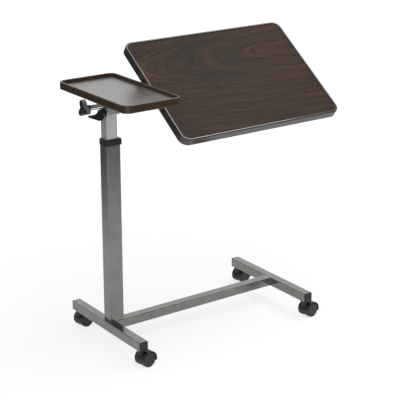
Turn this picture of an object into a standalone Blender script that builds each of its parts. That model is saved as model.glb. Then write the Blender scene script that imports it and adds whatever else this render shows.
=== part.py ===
"""Overbed table: H base on twin-wheel casters, telescoping mast, level side tray and tilting main top.

Metres, +Z up. X runs along the stretcher from the mast to the far leg, -Y is the front.
The table's own frame has its zero on the floor under the middle of the left leg. The root empty
then shifts everything, so that the world origin is under the middle of the whole table.
"""

import bmesh
import bpy
from math import cos
from math import pi
from math import radians
from math import sin
from mathutils import Vector

# Clearances
SEAT = 0.0003
RUN = 0.0004

# Facets
CORNER_STEPS = 4
PANEL_CORNER_STEPS = 8
OUTLINE_POINTS = 4 * (CORNER_STEPS + 1)
ROUND_POINTS = 20
WHEEL_FACETS = 32
KNOB_POINTS = 36
HOOD_STEPS = 12

# Base frame
LEG_SPACING = 0.6225
LEG_LENGTH = 0.386
LEG_WIDTH = 0.0284
LEG_HEIGHT = 0.0292
LEG_WALL = 0.0015
LEG_CORNER = 0.002
STRETCHER_WIDTH = 0.030
STRETCHER_HEIGHT = 0.0281
STRETCHER_WALL = 0.0015
STRETCHER_CORNER = 0.002
PLUG_CAP = 0.0025
PLUG_CHAMFER = 0.0008
PLUG_TO_SOCKET = 0.002

# Casters
WHEEL_RADIUS = 0.0235
WHEEL_WIDTH = 0.0172
WHEEL_BEVEL = 0.003
WHEEL_TO_LEG = 0.0086
CASTER_TRAIL = 0.016
CASTER_YAW = radians(9)
STEM_FROM_END = 0.017
STEM_RADIUS = 0.005
STEM_IN_HOOD = 0.0075
STEM_IN_SOCKET_END = 0.0015
AXLE_RADIUS = 0.003
AXLE_IN_WHEEL = 0.013
WEB_THICKNESS = 0.009
WHEEL_SIDE_GAP = 0.001
HOOD_GAP = 0.0013
HOOD_WALL = 0.0020
HOOD_LIP = 0.0006
HOOD_REAR_ANGLE = radians(-18)
HOOD_FRONT_ANGLE = radians(118)
HOOD_WEB_RADIUS = 0.0226
BOSS_RADIUS = 0.010
BOSS_SINK = 0.016
SOCKET_FLANGE_RADIUS = 0.010
SOCKET_FLANGE = 0.002
SOCKET_WALL = 0.0016
SOCKET_TOP_GAP = 0.004

# Mast
POST_SIZE_X = 0.0467
POST_SIZE_Y = 0.0385
POST_WALL = 0.0015
POST_CORNER = 0.0025
POST_LENGTH = 0.5642
POST_INSET = 0.0097
FOOT_PLATE = 0.005
BOLT_RADIUS = 0.004
BOLT_HEAD_RADIUS = 0.0065
BOLT_HEAD = 0.005
BOLT_TIP_GAP = 0.0005
COLLAR_HEIGHT = 0.0186
COLLAR_PROUD = 0.0015
COLLAR_PROUD_RIGHT = 0.0050
COLLAR_CAP = 0.0026
COLLAR_CORNER = 0.004
LINER_DEPTH = 0.05

# Column
PLAY_SIDE = 0.0015
PLAY_LEFT = 0.0017
PLAY_RIGHT = 0.0058
INNER_WALL = 0.0015
INNER_CORNER = 0.002
COLUMN_SHOWN = 0.0708
COLUMN_DROP = 0.058
GLIDE_HEIGHT = 0.030
GLIDE_LIP = 0.003
GLIDE_TO_PLATE = 0.005

# Gas spring
GAS_RADIUS = 0.011
GAS_WALL = 0.0015
GAS_BASE = 0.006
GAS_GUIDE = 0.015
GAS_GUIDE_INSET = 0.001
GAS_ROD_RADIUS = 0.004
PISTON_HEIGHT = 0.012
PISTON_PLAY = 0.0005
PISTON_TO_BASE = 0.006
RELEASE_HEAD = 0.014
ROD_IN_HEAD = 0.006
RELEASE_PIN_RADIUS = 0.0016
RELEASE_PIN_TOP = 0.0075
RELEASE_TRAVEL = 0.0025

# Head bracket and tilt housing
BRACKET_SHEET = 0.0025
BRACKET_HEIGHT = 0.052
BRACKET_OVERHANG = 0.0075
BRACKET_FLANGE = 0.012
BRACKET_TAB_HEIGHT = 0.018
AXIS_ABOVE_BRACKET = 0.0285
HOUSING_WALL = 0.0035
HOUSING_CORNER = 0.003

# Height lever
LEVER_REACH = 0.0445
LEVER_WIDTH = 0.020
LEVER_DROP = 0.0114
LEVER_RISE = 0.016
LEVER_HEEL = 0.0045
LEVER_INSTEP = 0.021
LEVER_SOLE = 0.0184
LEVER_TOE = 0.002
LEVER_TOE_RISE = 0.001
LEVER_ANKLE = 0.007
LEVER_HEEL_RISE = 0.005
LEVER_EDGE = 0.0012
NECK_WIDTH = 0.012
NECK_ROOT = 0.004
NECK_SLOT_GAP = 0.001
LEVER_PIN_RADIUS = 0.002
LEVER_PIN_OUT = 0.002
LEVER_PIVOT_IN = 0.007
LEVER_PIVOT_UP = 0.011
EYE_RADIUS = 0.0045
FINGER_PAST_PIN = 0.001
FINGER_THICKNESS = 0.0036

# Tilt knob and clamp
TUBE_RADIUS = 0.008
TUBE_WALL = 0.002
TUBE_END_INSET = 0.0010
NUT_LENGTH = 0.012
ROD_RADIUS = 0.00475
ROD_IN_NUT = 0.010
ROD_IN_KNOB = 0.010
ROD_SHOWN = 0.0467
SLEEVE_RADIUS = 0.0077
SLEEVE_FLANGE_RADIUS = 0.0095
SLEEVE_FLANGE = 0.0025
KNOB_CORE = 0.019
KNOB_LOBE = 0.008
KNOB_LOBES = 3
KNOB_TURN = radians(70)
KNOB_THICKNESS = 0.015
KNOB_HUB = 0.0085
KNOB_HUB_RADIUS = 0.009
KNOB_EDGE = 0.002
KNOB_EDGE_SHARE = 0.9

# Side tray
TRAY_SIZE_X = 0.1936
TRAY_SIZE_Y = 0.372
TRAY_LEFT_OF_POST = 0.0406
TRAY_CORNER = 0.024
TRAY_PLATE = 0.0025
TRAY_PLATE_X = 0.150
TRAY_PLATE_Y = 0.200
TRAY_FLOOR = 0.0066
TRAY_LIP = 0.0095
TRAY_RIM = 0.006
TRAY_RIM_FOOT = 0.0075
TRAY_RIM_ROUND = 0.0012
TRAY_SKIRT = 0.0035
TRAY_SKIRT_DROP = 0.0043
TRAY_LEDGE = 0.0085
TRAY_LEDGE_THICKNESS = 0.0025

# Main top
TOP_SIZE_X = 0.5878
TOP_SIZE_Y = 0.3935
TOP_GAP = 0.0102
TOP_CORNER = 0.028
TOP_TILT = radians(35.4)
TOP_EDGE_HEIGHT = 0.026
TOP_EDGE_WIDTH = 0.007
TOP_EDGE_ROUND = 0.0012
TOP_LIP = 0.0025
BOARD_THICKNESS = 0.015
TOP_SKIRT = 0.004
TOP_LEDGE = 0.010
TOP_LEDGE_THICKNESS = 0.0024
SUPPORT_PLATE = 0.0025
SUPPORT_PLATE_X = 0.060
SUPPORT_PLATE_Y = 0.180
SUPPORT_PLATE_INSET = 0.070
TUBE_PAST_PLATE = 0.010
NOTCH_GAP = 0.001

# Smallest corner that a hollow section's inside may have
LEAST_CORNER = 0.0005
# How far a cutter runs past the wall it cuts
CUT_PAST = 0.003
# Edges that bend more than this are drawn sharp, and the lever's are rounded
SHARP_ANGLE = radians(35)
LEVER_ROUND_ANGLE = radians(20)
LEVER_ROUND_STEPS = 2

# Places worked out from the sizes, in the table's own frame
axle_height = WHEEL_RADIUS * cos(pi / WHEEL_FACETS)
leg_bottom = 2 * WHEEL_RADIUS + WHEEL_TO_LEG
leg_middle = leg_bottom + LEG_HEIGHT / 2
leg_top = leg_bottom + LEG_HEIGHT
leg_tube_length = LEG_LENGTH - 2 * (PLUG_CAP + SEAT)
stem_y = LEG_LENGTH / 2 - STEM_FROM_END
socket_radius = STEM_RADIUS + SEAT + SOCKET_WALL
socket_top = leg_top - LEG_WALL - SOCKET_TOP_GAP
boss_top = leg_bottom - SEAT - SOCKET_FLANGE - RUN

post_left = POST_INSET - LEG_WIDTH / 2
post_right = post_left + POST_SIZE_X
post_x = (post_left + post_right) / 2
post_foot = leg_top + SEAT
post_top = post_foot + POST_LENGTH
foot_plate_top = post_foot + FOOT_PLATE
stretcher_y = (STRETCHER_WIDTH - POST_SIZE_Y) / 2
stretcher_bottom = leg_top - STRETCHER_HEIGHT
collar_top = post_top + SEAT + COLLAR_CAP

inner_size_x = POST_SIZE_X - 2 * POST_WALL - PLAY_LEFT - PLAY_RIGHT
inner_size_y = POST_SIZE_Y - 2 * (POST_WALL + PLAY_SIDE)
inner_left = post_left + POST_WALL + PLAY_LEFT
inner_x = inner_left + inner_size_x / 2
inner_bottom = foot_plate_top + GLIDE_TO_PLATE + COLUMN_DROP + GLIDE_LIP
head_bottom = collar_top + COLUMN_SHOWN

gas_bottom = foot_plate_top + SEAT
gas_top = post_top - LINER_DEPTH - SEAT
piston_bottom = gas_bottom + GAS_BASE + COLUMN_DROP + PISTON_TO_BASE
release_head_top = head_bottom - SEAT
release_head_bottom = release_head_top - RELEASE_HEAD
rod_top = release_head_bottom + ROD_IN_HEAD
release_pin_bottom = rod_top + RELEASE_TRAVEL + RUN
release_pin_top = head_bottom + RELEASE_PIN_TOP

bracket_bottom = head_bottom + SEAT
bracket_top = bracket_bottom + BRACKET_HEIGHT
bracket_left = inner_left
bracket_right = inner_left + inner_size_x + BRACKET_OVERHANG
bracket_inside = inner_size_y / 2
bracket_outside = bracket_inside + BRACKET_SHEET
axis_height = head_bottom + AXIS_ABOVE_BRACKET
lever_pivot = Vector((inner_left + LEVER_PIVOT_IN, 0, head_bottom + LEVER_PIVOT_UP))

tray_left = inner_left - TRAY_LEFT_OF_POST - PLAY_LEFT - POST_WALL
tray_x = tray_left + TRAY_SIZE_X / 2
tray_plate_bottom = bracket_top + SEAT
tray_floor_bottom = tray_plate_bottom + TRAY_PLATE + SEAT
tray_floor_top = tray_floor_bottom + TRAY_FLOOR
tray_rim_top = tray_floor_top + TRAY_LIP

top_left = tray_left + TRAY_SIZE_X + TOP_GAP
top_right = top_left + TOP_SIZE_X
top_x = (top_left + top_right) / 2
plate_top = TUBE_RADIUS + SEAT + SUPPORT_PLATE
board_bottom = plate_top + SEAT
board_top = board_bottom + BOARD_THICKNESS
edge_top = board_top + TOP_LIP
edge_bottom = edge_top - TOP_EDGE_HEIGHT

hub_end = inner_left - ROD_SHOWN
hub_start = hub_end - KNOB_HUB
knob_front = hub_start - KNOB_THICKNESS

table_middle_x = (knob_front + top_right) / 2
table_middle_y = CASTER_TRAIL * sin(CASTER_YAW)


def clear_scene():
    for old in list(bpy.data.objects):
        bpy.data.objects.remove(old, do_unlink=True)


def principled(name, colour, roughness, metallic):
    made = bpy.data.materials.new(name)
    made.use_nodes = True
    shader = made.node_tree.nodes["Principled BSDF"]
    shader.inputs["Base Color"].default_value = (*colour, 1.0)
    shader.inputs["Roughness"].default_value = roughness
    shader.inputs["Metallic"].default_value = metallic
    return made


def rounded_rectangle(size_x, size_y, corner, centre=(0, 0), steps=CORNER_STEPS):
    """Points of a rectangle with round corners, counter-clockwise from its +X side."""
    points = []
    for quarter, (side_x, side_y) in enumerate(((1, 1), (-1, 1), (-1, -1), (1, -1))):
        corner_x = centre[0] + side_x * (size_x / 2 - corner)
        corner_y = centre[1] + side_y * (size_y / 2 - corner)
        for step in range(steps + 1):
            angle = (quarter + step / steps) * pi / 2
            points.append((corner_x + corner * cos(angle), corner_y + corner * sin(angle)))
    return points


def inset_rectangle(size_x, size_y, corner, inset, centre=(0, 0), steps=CORNER_STEPS):
    """The same rectangle drawn in by inset all round, with its corners drawn in too."""
    inner_corner = max(corner - inset, LEAST_CORNER)
    return rounded_rectangle(size_x - 2 * inset, size_y - 2 * inset, inner_corner, centre, steps)


def panel(size_x, size_y, corner, inset, centre):
    """Outline of the tray or the main top, drawn in by inset, with finer corners."""
    return inset_rectangle(size_x, size_y, corner, inset, centre, PANEL_CORNER_STEPS)


def circle(radius, count=ROUND_POINTS, centre=(0, 0)):
    """Points of a circle, with a flat at each end of both axes where count is a multiple of 4."""
    angles = [(i + 0.5) * 2 * pi / count for i in range(count)]
    return [(centre[0] + radius * cos(a), centre[1] + radius * sin(a)) for a in angles]


def level(points, height):
    """Points of the XY plane at a height."""
    return [(x, y, height) for x, y in points]


def across(points, place):
    """Points of the YZ plane at a place along X."""
    return [(place, y, z) for y, z in points]


def along(points, place):
    """Points of the XZ plane at a place along Y."""
    return [(x, place, z) for x, z in points]


def loft(loops, ring=False):
    """A closed skin over loops of equally many points: a ring, or a body with flat ends."""
    shape = bmesh.new()
    rows = [[shape.verts.new(point) for point in loop] for loop in loops]
    pairs = list(zip(rows, rows[1:]))
    if ring:
        pairs.append((rows[-1], rows[0]))
    for near, far in pairs:
        for i in range(len(near)):
            j = (i + 1) % len(near)
            shape.faces.new((near[i], near[j], far[j], far[i]))
    if not ring:
        shape.faces.new(list(reversed(rows[0])))
        shape.faces.new(rows[-1])
    bmesh.ops.recalc_face_normals(shape, faces=shape.faces)
    return shape


def turned(profile, count=ROUND_POINTS, ring=False, centre=(0, 0)):
    """A body turned about an upright line, from pairs of radius and height."""
    return loft([level(circle(radius, count, centre), height) for radius, height in profile], ring)


def tube(outer, inner, low, high):
    """An upright hollow section between two heights."""
    loops = [level(outer, low), level(outer, high), level(inner, high), level(inner, low)]
    return loft(loops, ring=True)


def hollow_section(size_x, size_y, corner, wall, low, high, centre=(0, 0)):
    outer = rounded_rectangle(size_x, size_y, corner, centre)
    inner = inset_rectangle(size_x, size_y, corner, wall, centre)
    return tube(outer, inner, low, high)


def block(size_x, size_y, corner, low, high, centre=(0, 0)):
    """An upright solid with a rounded outline."""
    outline = rounded_rectangle(size_x, size_y, corner, centre)
    return loft([level(outline, low), level(outline, high)])


def box(low, high):
    """A plain box between two corners, used as a cutter or a tab."""
    outline = [(low[0], low[1]), (high[0], low[1]), (high[0], high[1]), (low[0], high[1])]
    return loft([level(outline, low[2]), level(outline, high[2])])


def empty(name, parent, location=(0, 0, 0), rotation=(0, 0, 0)):
    made = bpy.data.objects.new(name, None)
    bpy.context.scene.collection.objects.link(made)
    made.parent = parent
    made.location = location
    made.rotation_euler = rotation
    return made


def piece(name, shape, finish, parent, location=(0, 0, 0), rotation=(0, 0, 0)):
    mesh = bpy.data.meshes.new(name)
    shape.to_mesh(mesh)
    shape.free()
    mesh.shade_smooth()
    mesh.set_sharp_from_angle(angle=SHARP_ANGLE)
    mesh.materials.append(finish)
    made = bpy.data.objects.new(name, mesh)
    bpy.context.scene.collection.objects.link(made)
    made.parent = parent
    made.location = location
    made.rotation_euler = rotation
    return made


def boolean(target, name, shape, parent, operation, location=(0, 0, 0), rotation=(0, 0, 0)):
    """Join a helper shape to a piece or cut it away, and keep the helper hidden."""
    helper = piece(name, shape, target.data.materials[0], parent, location, rotation)
    helper.hide_render = True
    helper.display_type = "WIRE"
    change = target.modifiers.new(name, "BOOLEAN")
    change.operation = operation
    change.solver = "EXACT"
    change.object = helper


def cut(target, name, shape, parent, location=(0, 0, 0), rotation=(0, 0, 0)):
    boolean(target, name, shape, parent, "DIFFERENCE", location, rotation)


def join(target, name, shape, parent, location=(0, 0, 0), rotation=(0, 0, 0)):
    boolean(target, name, shape, parent, "UNION", location, rotation)


ALONG_X = (0, pi / 2, 0)
ALONG_Y = (-pi / 2, 0, 0)
AGAINST_Y = (pi / 2, 0, 0)


def make_leg(side, x, root, finish):
    half = leg_tube_length / 2
    shape = hollow_section(LEG_WIDTH, LEG_HEIGHT, LEG_CORNER, LEG_WALL, -half, half)
    leg = piece(side + "_leg", shape, finish, root, (x, 0, leg_middle), ALONG_Y)
    hole = socket_radius + SEAT
    for end, y in (("front", -stem_y), ("rear", stem_y)):
        profile = [(hole, leg_bottom - CUT_PAST), (hole, leg_bottom + LEG_WALL + CUT_PAST)]
        cut(leg, "cut_" + side + "_" + end + "_socket", turned(profile), root, (x, y, 0))
    return leg


def make_plug(name, x, end, root, finish):
    """Plug in a leg's end. Its cap has the tube's outline and its spigot fills the tube."""
    spigot = STEM_FROM_END - socket_radius - PLUG_CAP - PLUG_TO_SOCKET
    inside = inset_rectangle(LEG_WIDTH, LEG_HEIGHT, LEG_CORNER, LEG_WALL + SEAT)
    cap = rounded_rectangle(LEG_WIDTH, LEG_HEIGHT, LEG_CORNER)
    face = inset_rectangle(LEG_WIDTH, LEG_HEIGHT, LEG_CORNER, PLUG_CHAMFER)
    loops = [
        level(inside, -spigot),
        level(inside, 0),
        level(cap, 0),
        level(cap, PLUG_CAP - PLUG_CHAMFER),
        level(face, PLUG_CAP),
    ]
    place = (x, end * (leg_tube_length / 2 + SEAT), leg_middle)
    piece(name, loft(loops), finish, root, place, ALONG_Y if end > 0 else AGAINST_Y)


def make_stretcher(root, finish):
    half = (LEG_SPACING - LEG_WIDTH) / 2 - SEAT
    shape = hollow_section(
        STRETCHER_HEIGHT, STRETCHER_WIDTH, STRETCHER_CORNER, STRETCHER_WALL, -half, half
    )
    place = (LEG_SPACING / 2, stretcher_y, leg_top - STRETCHER_HEIGHT / 2)
    return piece("stretcher", shape, finish, root, place, ALONG_X)


def make_socket(name, root, finish, place):
    bore = STEM_RADIUS + SEAT
    flange_top = leg_bottom - SEAT
    profile = [
        (bore, flange_top - SOCKET_FLANGE),
        (SOCKET_FLANGE_RADIUS, flange_top - SOCKET_FLANGE),
        (SOCKET_FLANGE_RADIUS, flange_top),
        (socket_radius, flange_top),
        (socket_radius, socket_top),
        (bore, socket_top),
    ]
    piece(name, turned(profile, ring=True), finish, root, place)


def make_post(root, finish):
    shape = hollow_section(
        POST_SIZE_X, POST_SIZE_Y, POST_CORNER, POST_WALL, post_foot, post_top, (post_x, 0)
    )
    piece("outer_post", shape, finish, root)


def make_foot_plate(root, finish):
    inset = POST_WALL + SEAT
    outline = inset_rectangle(POST_SIZE_X, POST_SIZE_Y, POST_CORNER, inset, (post_x, 0))
    shape = loft([level(outline, post_foot), level(outline, foot_plate_top)])
    return piece("post_foot_plate", shape, finish, root)


def make_bolt(name, x, y, seat_height, pierced, root, finish):
    """Bolt from below through a tube into the foot plate, with its holes in both."""
    under_head = seat_height - SEAT
    profile = [
        (BOLT_HEAD_RADIUS, under_head - BOLT_HEAD),
        (BOLT_HEAD_RADIUS, under_head),
        (BOLT_RADIUS, under_head),
        (BOLT_RADIUS, foot_plate_top - BOLT_TIP_GAP),
    ]
    piece(name, turned(profile), finish, root, (x, y, 0))
    hole = BOLT_RADIUS + SEAT
    span = [(hole, seat_height - CUT_PAST), (hole, foot_plate_top + CUT_PAST)]
    for target in pierced:
        cut(target, "cut_" + name + "_" + target.name, turned(span), root, (x, y, 0))


def make_collar(root, finish):
    """Cap over the post's top end. A liner inside the post guides the inner post."""
    size_x = POST_SIZE_X + COLLAR_PROUD + COLLAR_PROUD_RIGHT
    size_y = POST_SIZE_Y + 2 * COLLAR_PROUD
    middle_x = post_x + (COLLAR_PROUD_RIGHT - COLLAR_PROUD) / 2
    outside = rounded_rectangle(size_x, size_y, COLLAR_CORNER, (middle_x, 0))
    around_post = inset_rectangle(POST_SIZE_X, POST_SIZE_Y, POST_CORNER, -SEAT, (post_x, 0))
    liner = inset_rectangle(POST_SIZE_X, POST_SIZE_Y, POST_CORNER, POST_WALL + SEAT, (post_x, 0))
    bore = inset_rectangle(inner_size_x, inner_size_y, INNER_CORNER, -RUN, (inner_x, 0))
    groove = post_top + SEAT
    sleeve_bottom = collar_top - COLLAR_HEIGHT
    loops = [
        level(bore, post_top - LINER_DEPTH),
        level(liner, post_top - LINER_DEPTH),
        level(liner, groove),
        level(around_post, groove),
        level(around_post, sleeve_bottom),
        level(outside, sleeve_bottom),
        level(outside, collar_top),
        level(bore, collar_top),
    ]
    piece("post_collar", loft(loops, ring=True), finish, root)


def make_gas_spring(root, column, steel, black):
    centre = (inner_x, 0)
    inside = GAS_RADIUS - GAS_WALL
    body = [
        (GAS_RADIUS, gas_bottom),
        (GAS_RADIUS, gas_top),
        (inside, gas_top),
        (inside, gas_bottom + GAS_BASE),
    ]
    piece("gas_spring_cylinder", turned(body, centre=centre), black, root)
    guide_top = gas_top - GAS_GUIDE_INSET
    rod_hole = GAS_ROD_RADIUS + RUN
    guide = [
        (rod_hole, guide_top - GAS_GUIDE),
        (inside - SEAT, guide_top - GAS_GUIDE),
        (inside - SEAT, guide_top),
        (rod_hole, guide_top),
    ]
    piece("gas_spring_guide", turned(guide, ring=True, centre=centre), black, root)
    piston = inside - PISTON_PLAY
    rod = [
        (piston, piston_bottom),
        (piston, piston_bottom + PISTON_HEIGHT),
        (GAS_ROD_RADIUS, piston_bottom + PISTON_HEIGHT),
        (GAS_ROD_RADIUS, rod_top),
    ]
    piece("gas_spring_rod", turned(rod, centre=centre), steel, column)


def make_inner_post(column, finish):
    shape = hollow_section(
        inner_size_x, inner_size_y, INNER_CORNER, INNER_WALL, inner_bottom, head_bottom, (inner_x, 0)
    )
    piece("inner_post", shape, finish, column)


def make_lower_glide(column, finish):
    """Glide round the inner post's foot, with a lip under its end."""
    inset = POST_WALL + RUN
    outside = inset_rectangle(POST_SIZE_X, POST_SIZE_Y, POST_CORNER, inset, (post_x, 0))
    seat = inset_rectangle(inner_size_x, inner_size_y, INNER_CORNER, -SEAT, (inner_x, 0))
    opening = inset_rectangle(inner_size_x, inner_size_y, INNER_CORNER, INNER_WALL, (inner_x, 0))
    lip_top = inner_bottom - SEAT
    lip_bottom = inner_bottom - GLIDE_LIP
    loops = [
        level(opening, lip_bottom),
        level(outside, lip_bottom),
        level(outside, inner_bottom + GLIDE_HEIGHT),
        level(seat, inner_bottom + GLIDE_HEIGHT),
        level(seat, lip_top),
        level(opening, lip_top),
    ]
    piece("lower_glide", loft(loops, ring=True), finish, column)


def make_release_head(column, finish):
    """Block in the column's top with a stepped hole for the rod and the release pin."""
    inset = INNER_WALL + SEAT
    outside = inset_rectangle(inner_size_x, inner_size_y, INNER_CORNER, inset, (inner_x, 0))
    pin_hole = circle(RELEASE_PIN_RADIUS + RUN, OUTLINE_POINTS, (inner_x, 0))
    rod_hole = circle(GAS_ROD_RADIUS + SEAT, OUTLINE_POINTS, (inner_x, 0))
    step = rod_top + SEAT
    loops = [
        level(outside, release_head_bottom),
        level(outside, release_head_top),
        level(pin_hole, release_head_top),
        level(pin_hole, step),
        level(rod_hole, step),
        level(rod_hole, release_head_bottom),
    ]
    piece("release_head", loft(loops, ring=True), finish, column)


def make_release_pin(column, finish):
    profile = [(RELEASE_PIN_RADIUS, release_pin_bottom), (RELEASE_PIN_RADIUS, release_pin_top)]
    piece("release_pin", turned(profile), finish, column, (inner_x, 0, 0))


def make_head_bracket(column, finish):
    """Folded channel on the column's top: base, two cheeks, top flanges and two front tabs."""
    base_top = bracket_bottom + BRACKET_SHEET
    flange_bottom = bracket_top - BRACKET_SHEET
    flange_end = bracket_outside + BRACKET_FLANGE
    right_half = [
        (bracket_outside, bracket_bottom),
        (bracket_outside, flange_bottom),
        (flange_end, flange_bottom),
        (flange_end, bracket_top),
        (bracket_inside, bracket_top),
        (bracket_inside, base_top),
    ]
    profile = right_half + [(-y, z) for y, z in reversed(right_half)]
    shape = loft([across(profile, bracket_left), across(profile, bracket_right)])
    bracket = piece("head_bracket", shape, finish, column)
    tab_inner = NECK_WIDTH / 2 + NECK_SLOT_GAP
    tab_outer = (bracket_inside + bracket_outside) / 2
    tab_low = (bracket_bottom + base_top) / 2
    for side, low_y, high_y in (("front", -tab_outer, -tab_inner), ("rear", tab_inner, tab_outer)):
        low = (bracket_left, low_y, tab_low)
        high = (bracket_left + BRACKET_SHEET, high_y, bracket_bottom + BRACKET_TAB_HEIGHT)
        join(bracket, "join_" + side + "_tab", box(low, high), column)
    pin_hole = RELEASE_PIN_RADIUS + RUN
    span = [(pin_hole, bracket_bottom - CUT_PAST), (pin_hole, base_top + CUT_PAST)]
    cut(bracket, "cut_release_pin_hole", turned(span), column, (inner_x, 0, 0))
    hole = LEVER_PIN_RADIUS + SEAT
    reach = bracket_outside + CUT_PAST
    across_cheeks = turned([(hole, -reach), (hole, reach)])
    cut(bracket, "cut_lever_pin_hole", across_cheeks, column, lever_pivot, ALONG_Y)


def make_lever_pin(column, finish):
    reach = bracket_outside + LEVER_PIN_OUT
    shape = turned([(LEVER_PIN_RADIUS, -reach), (LEVER_PIN_RADIUS, reach)])
    piece("lever_pin", shape, finish, column, lever_pivot, ALONG_Y)


def make_pivot_housing(column, finish):
    """Block between the cheeks, bored for the tilt shaft."""
    size_y = inner_size_y - 2 * SEAT
    size_z = 2 * (TUBE_RADIUS + RUN + HOUSING_WALL)
    outside = rounded_rectangle(size_y, size_z, HOUSING_CORNER, (0, axis_height))
    bore = circle(TUBE_RADIUS + RUN, OUTLINE_POINTS, (0, axis_height))
    start = bracket_left + BRACKET_SHEET + SEAT
    loops = [
        across(outside, start),
        across(outside, bracket_right),
        across(bore, bracket_right),
        across(bore, start),
    ]
    piece("pivot_housing", loft(loops, ring=True), finish, column)


def make_height_lever(lever, finish):
    """Boot-shaped paddle in front of the column, with a neck and finger that press the pin.

    The lever's own zero is its pivot. Its boot is set out from the column's face and head.
    """
    face = inner_left - lever_pivot.x
    head = head_bottom - lever_pivot.z
    boot = [
        (face - LEVER_REACH, head + LEVER_TOE_RISE - LEVER_TOE / 2),
        (face - LEVER_SOLE, head - LEVER_DROP),
        (face - LEVER_ANKLE, head - LEVER_DROP + LEVER_HEEL_RISE / 2),
        (face - LEVER_HEEL, head - LEVER_DROP + LEVER_HEEL_RISE),
        (face - LEVER_HEEL, head + LEVER_RISE),
        (face - LEVER_HEEL - LEVER_ANKLE, head + LEVER_RISE),
        (face - LEVER_INSTEP, head + LEVER_TOE_RISE + LEVER_TOE),
        (face - LEVER_REACH, head + LEVER_TOE_RISE + LEVER_TOE / 2),
    ]
    half = LEVER_WIDTH / 2
    shape = loft([along(boot, -half), along(boot, half)])
    edges = [e for e in shape.edges if e.calc_face_angle(0) > LEVER_ROUND_ANGLE]
    bmesh.ops.bevel(
        shape, geom=edges, offset=LEVER_EDGE, segments=LEVER_ROUND_STEPS, affect="EDGES", clamp_overlap=True
    )
    paddle = piece("height_lever", shape, finish, lever)
    finger_bottom = release_pin_top + SEAT - lever_pivot.z
    finger_end = inner_x - lever_pivot.x + FINGER_PAST_PIN
    neck_start = face - LEVER_HEEL - NECK_ROOT
    neck = [
        (neck_start, -EYE_RADIUS),
        (EYE_RADIUS, -EYE_RADIUS),
        (EYE_RADIUS, finger_bottom),
        (finger_end, finger_bottom),
        (finger_end, finger_bottom + FINGER_THICKNESS),
        (EYE_RADIUS, finger_bottom + FINGER_THICKNESS),
        (EYE_RADIUS / 2, EYE_RADIUS),
        (neck_start, EYE_RADIUS),
    ]
    half = NECK_WIDTH / 2
    join(paddle, "join_lever_neck", loft([along(neck, -half), along(neck, half)]), lever)
    hole = LEVER_PIN_RADIUS + RUN
    reach = half + CUT_PAST
    cut(paddle, "cut_lever_eye", turned([(hole, -reach), (hole, reach)]), lever, (0, 0, 0), ALONG_Y)


def lobed(scale):
    """Outline of the knob, in the plane across its axis."""
    points = []
    for i in range(KNOB_POINTS):
        angle = 2 * pi * i / KNOB_POINTS
        radius = scale * (KNOB_CORE + KNOB_LOBE * cos(KNOB_LOBES * (angle - KNOB_TURN)))
        points.append((radius * cos(angle), radius * sin(angle)))
    return points


def hub_circle(radius):
    """Circle with the knob's own points, so that the hub joins the lobes."""
    angles = [2 * pi * i / KNOB_POINTS for i in range(KNOB_POINTS)]
    return [(radius * cos(a), radius * sin(a)) for a in angles]


def make_tilt_knob(knob, black, chrome):
    """Lobed knob, clamping rod and flanged sleeve. Their zero is on the axis at the hub's end."""
    front = knob_front - hub_end
    back = hub_start - hub_end
    socket = hub_circle(ROD_RADIUS + SEAT)
    loops = [
        across(lobed(KNOB_EDGE_SHARE), front),
        across(lobed(1), front + KNOB_EDGE),
        across(lobed(1), back - KNOB_EDGE),
        across(lobed(KNOB_EDGE_SHARE), back),
        across(hub_circle(KNOB_HUB_RADIUS), back),
        across(hub_circle(KNOB_HUB_RADIUS), 0),
        across(socket, 0),
        across(socket, -ROD_IN_KNOB),
    ]
    piece("tilt_knob", loft(loops), black, knob)
    rod_end = bracket_left + TUBE_END_INSET + ROD_IN_NUT - hub_end
    rod = [(ROD_RADIUS, SEAT - ROD_IN_KNOB), (ROD_RADIUS, rod_end)]
    piece("clamp_rod", turned(rod), chrome, knob, (0, 0, 0), ALONG_X)
    hole = ROD_RADIUS + SEAT
    flange_end = SEAT + SLEEVE_FLANGE
    sleeve_end = bracket_left - SEAT - hub_end
    sleeve = [
        (hole, SEAT),
        (SLEEVE_FLANGE_RADIUS, SEAT),
        (SLEEVE_FLANGE_RADIUS, flange_end),
        (SLEEVE_RADIUS, flange_end),
        (SLEEVE_RADIUS, sleeve_end),
        (hole, sleeve_end),
    ]
    piece("clamp_sleeve", turned(sleeve, ring=True), chrome, knob, (0, 0, 0), ALONG_X)


def rim_loops(size_x, size_y, corner, centre, section):
    """Loops of a frame round a board, from pairs of inset and height."""
    return [level(panel(size_x, size_y, corner, inset, centre), height) for inset, height in section]


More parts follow.
